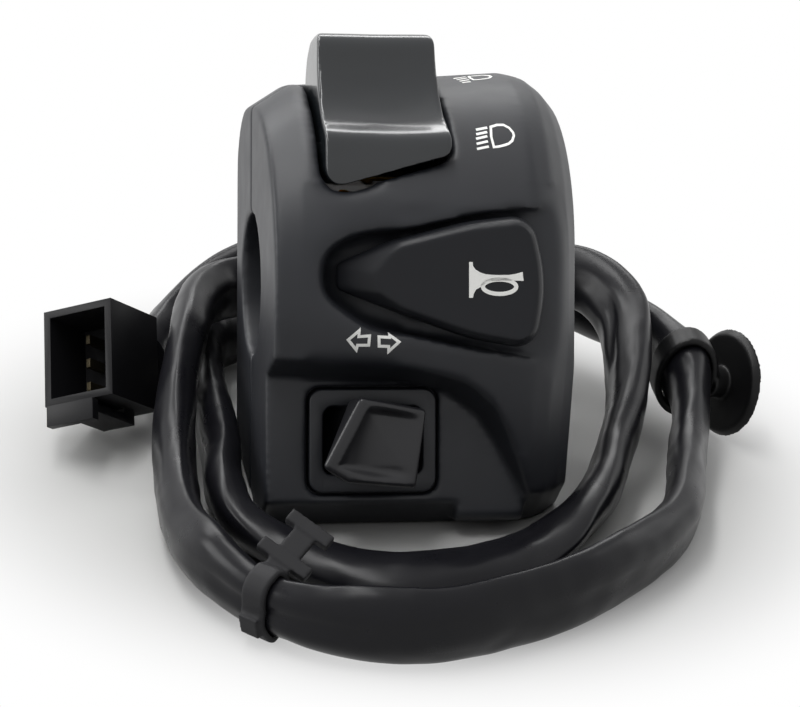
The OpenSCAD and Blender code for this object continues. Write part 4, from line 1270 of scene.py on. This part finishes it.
@dataclass
class Studio:
    """Pale floor, painted a darker grey as shade near the part, soft light and the camera at the photograph's angle.
    """

    yaw: float = -11.2
    elevation: float = 21.0
    roll: float = 4.06
    distance: float = 460.0
    lens: float = 130.0
    sensor: float = 36.0
    clip: Flat = (0.01, 20.0)
    aim_px: Flat = (1.5, -69.5)
    image_width: float = 800.0
    # Grey of the floor near the part: painted shade, darker than the white floor further out.
    painted_shade_paper: str = "#a6a6a5"
    # Floor in metres: half width, from where to where its grey paper, painted shade near the part, fades to white, gap
    # under the part.
    floor_half: float = 6.0
    floor_fade: Flat = (0.055, 0.092)
    floor_gap: float = 0.0001
    bright_side: Corner = (-0.5, 0.6, 0.6)
    sky_turn: Flat = (-0.7, 0.7)
    sky_level: Flat = (0.16, 0.95)
    # Area lamps aimed at the bar: name, place and size in metres, power in watts.
    lamps: tuple[tuple[str, Corner, Flat, float], ...] = (
        ("key", (-0.2, 0.04, 0.78), (0.9, 0.14), 5.0), ("back", (-0.1, 0.6, 0.5), (1.0, 0.16), 3.5),
        ("left", (-0.8, 0.15, 0.3), (0.4, 0.4), 3.0), ("right", (0.7, 0.2, 0.35), (0.3, 0.3), 0.4))

    def camera(self) -> None:
        """Sets the camera so that the bar's middle falls on its pixel."""
        yaw, rise, roll = (radians(a) for a in (self.yaw, self.elevation, self.roll))
        back = Vector((sin(yaw) * cos(rise), -cos(yaw) * cos(rise), sin(rise)))
        right = Vector((cos(yaw), sin(yaw), 0))
        up = back.cross(right)
        across = right * cos(roll) + up * sin(roll)
        tall = up * cos(roll) - right * sin(roll)
        data = bpy.data.cameras.new("camera")
        data.lens, data.sensor_width = self.lens, self.sensor
        data.clip_start, data.clip_end = self.clip
        data.shift_x = -self.aim_px[0] / self.image_width
        data.shift_y = self.aim_px[1] / self.image_width
        eye = add_object("camera", data)
        turn = Matrix((across, tall, back)).transposed()
        eye.matrix_world = Matrix.Translation(back * self.distance * MM) @ turn.to_4x4()
        bpy.context.scene.camera = eye

    def lamp(self, name: str, place: Corner, size: Flat, power: float) -> None:
        """Adds an area lamp that faces the bar, with its width along the bar.

        Args:
            name: Lamp name.
            place: Place in metres.
            size: Width and height in metres.
            power: Power in watts.
        """
        data = bpy.data.lights.new(name, "AREA")
        data.shape = "RECTANGLE"
        data.size, data.size_y, data.energy = *size, power
        lamp = add_object(name, data)
        lamp.location = place
        lamp.rotation_euler = (-Vector(place)).to_track_quat("-Z", "Y").to_euler()

    def mirrored(self, tree: Tree) -> bpy.types.NodeSocket:
        """Finds what the camera sees, straight or in a gloss or glass.

        Args:
            tree: Node tree that gets the nodes.

        Returns:
            A socket that is 1 for such rays.
        """
        rays = add_node(tree, "LightPath").outputs
        seen = rays["Is Camera Ray"]
        for kind in ("Is Glossy Ray", "Is Transmission Ray"):
            seen = add_node(tree, "Math", {"operation": "MAXIMUM"}, links={0: seen, 1: rays[kind]}).outputs[0]
        return seen

    def floor(self) -> None:
        """Lays the floor under the part, white far away and painted a pale grey as shade close to it, where it also
        takes the part's shadow.
        """
        bm = bmesh.new()
        bmesh.ops.create_grid(bm, x_segments=1, y_segments=1, size=self.floor_half)
        bmesh.ops.translate(bm, verts=bm.verts, vec=(0, 0, FLOOR_Z * MM - self.floor_gap))
        floor = mesh_object(bm, "floor")
        made = bpy.data.materials.new("floor_white_with_painted_shade")
        tree = fresh_tree(made)
        # The grey paper is painted shade near the part; the white glow further out is the plain floor.
        painted_shade_paper = add_node(tree, "BsdfDiffuse", sockets={"Color": linear(self.painted_shade_paper)})
        glow = add_node(tree, "Emission", sockets={"Color": (1, 1, 1, 1), "Strength": 1.0})
        place = add_node(tree, "TexCoord")
        away = add_node(tree, "VectorMath", {"operation": "LENGTH"}, links={0: place.outputs["Object"]})
        fade = add_node(
            tree, "MapRange", {"interpolation_type": "SMOOTHSTEP"},
            {1: self.floor_fade[0], 2: self.floor_fade[1]}, {0: away.outputs["Value"]})
        share = add_node(
            tree, "Math", {"operation": "MULTIPLY"}, links={0: self.mirrored(tree), 1: fade.outputs[0]})
        both = add_node(
            tree, "MixShader",
            links={0: share.outputs[0], 1: painted_shade_paper.outputs[0], 2: glow.outputs[0]})
        add_node(tree, "OutputMaterial", links={"Surface": both.outputs[0]})
        floor.data.materials.append(made)

    def sky(self) -> None:
        """Lights the part from a world that is bright above, left and behind, and white to camera, gloss and glass."""
        world = bpy.data.worlds.new("studio")
        tree = fresh_tree(world)
        way = add_node(tree, "TexCoord")
        toward = add_node(
            tree, "VectorMath", {"operation": "DOT_PRODUCT"}, {1: Vector(self.bright_side).normalized()},
            {0: way.outputs["Generated"]})
        level = add_node(
            tree, "MapRange", {"interpolation_type": "SMOOTHSTEP"},
            dict(enumerate((*self.sky_turn, *self.sky_level), 1)), {0: toward.outputs["Value"]})
        seen = add_node(
            tree, "Mix", {"data_type": "FLOAT"}, {3: 1.0}, {0: self.mirrored(tree), 2: level.outputs[0]})
        light = add_node(
            tree, "Background", sockets={"Color": (1, 1, 1, 1)}, links={"Strength": seen.outputs[0]})
        add_node(tree, "OutputWorld", links={"Surface": light.outputs[0]})
        bpy.context.scene.world = world

    def build(self) -> None:
        """Builds camera, floor, sky and lamps."""
        self.camera()
        self.floor()
        self.sky()
        for lamp in self.lamps:
            self.lamp(*lamp)
        bpy.context.scene.view_settings.view_transform = "Standard"


def main() -> None:
    """Builds the cluster in order and reports each piece."""
    logging.basicConfig(level=logging.INFO, format="%(name)s: %(message)s")
    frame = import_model()
    nodes = frame["nodes"]
    Studio().build()
    mouldings = SmallMouldings().build(nodes)
    pieces = mouldings + Harness().build(nodes, mouldings[:2])
    halves = Housing().build(nodes)
    switches = Switches().build(nodes)
    pieces += halves + switches + Prints().build(halves[0], switches[1])
    pieces += InnerWorks().dress(nodes)
    for piece in pieces:
        LOG.info("%s: %d faces", piece.name, len(piece.data.polygons))
    bpy.context.view_layer.update()


if __name__ == "__main__":
    main()
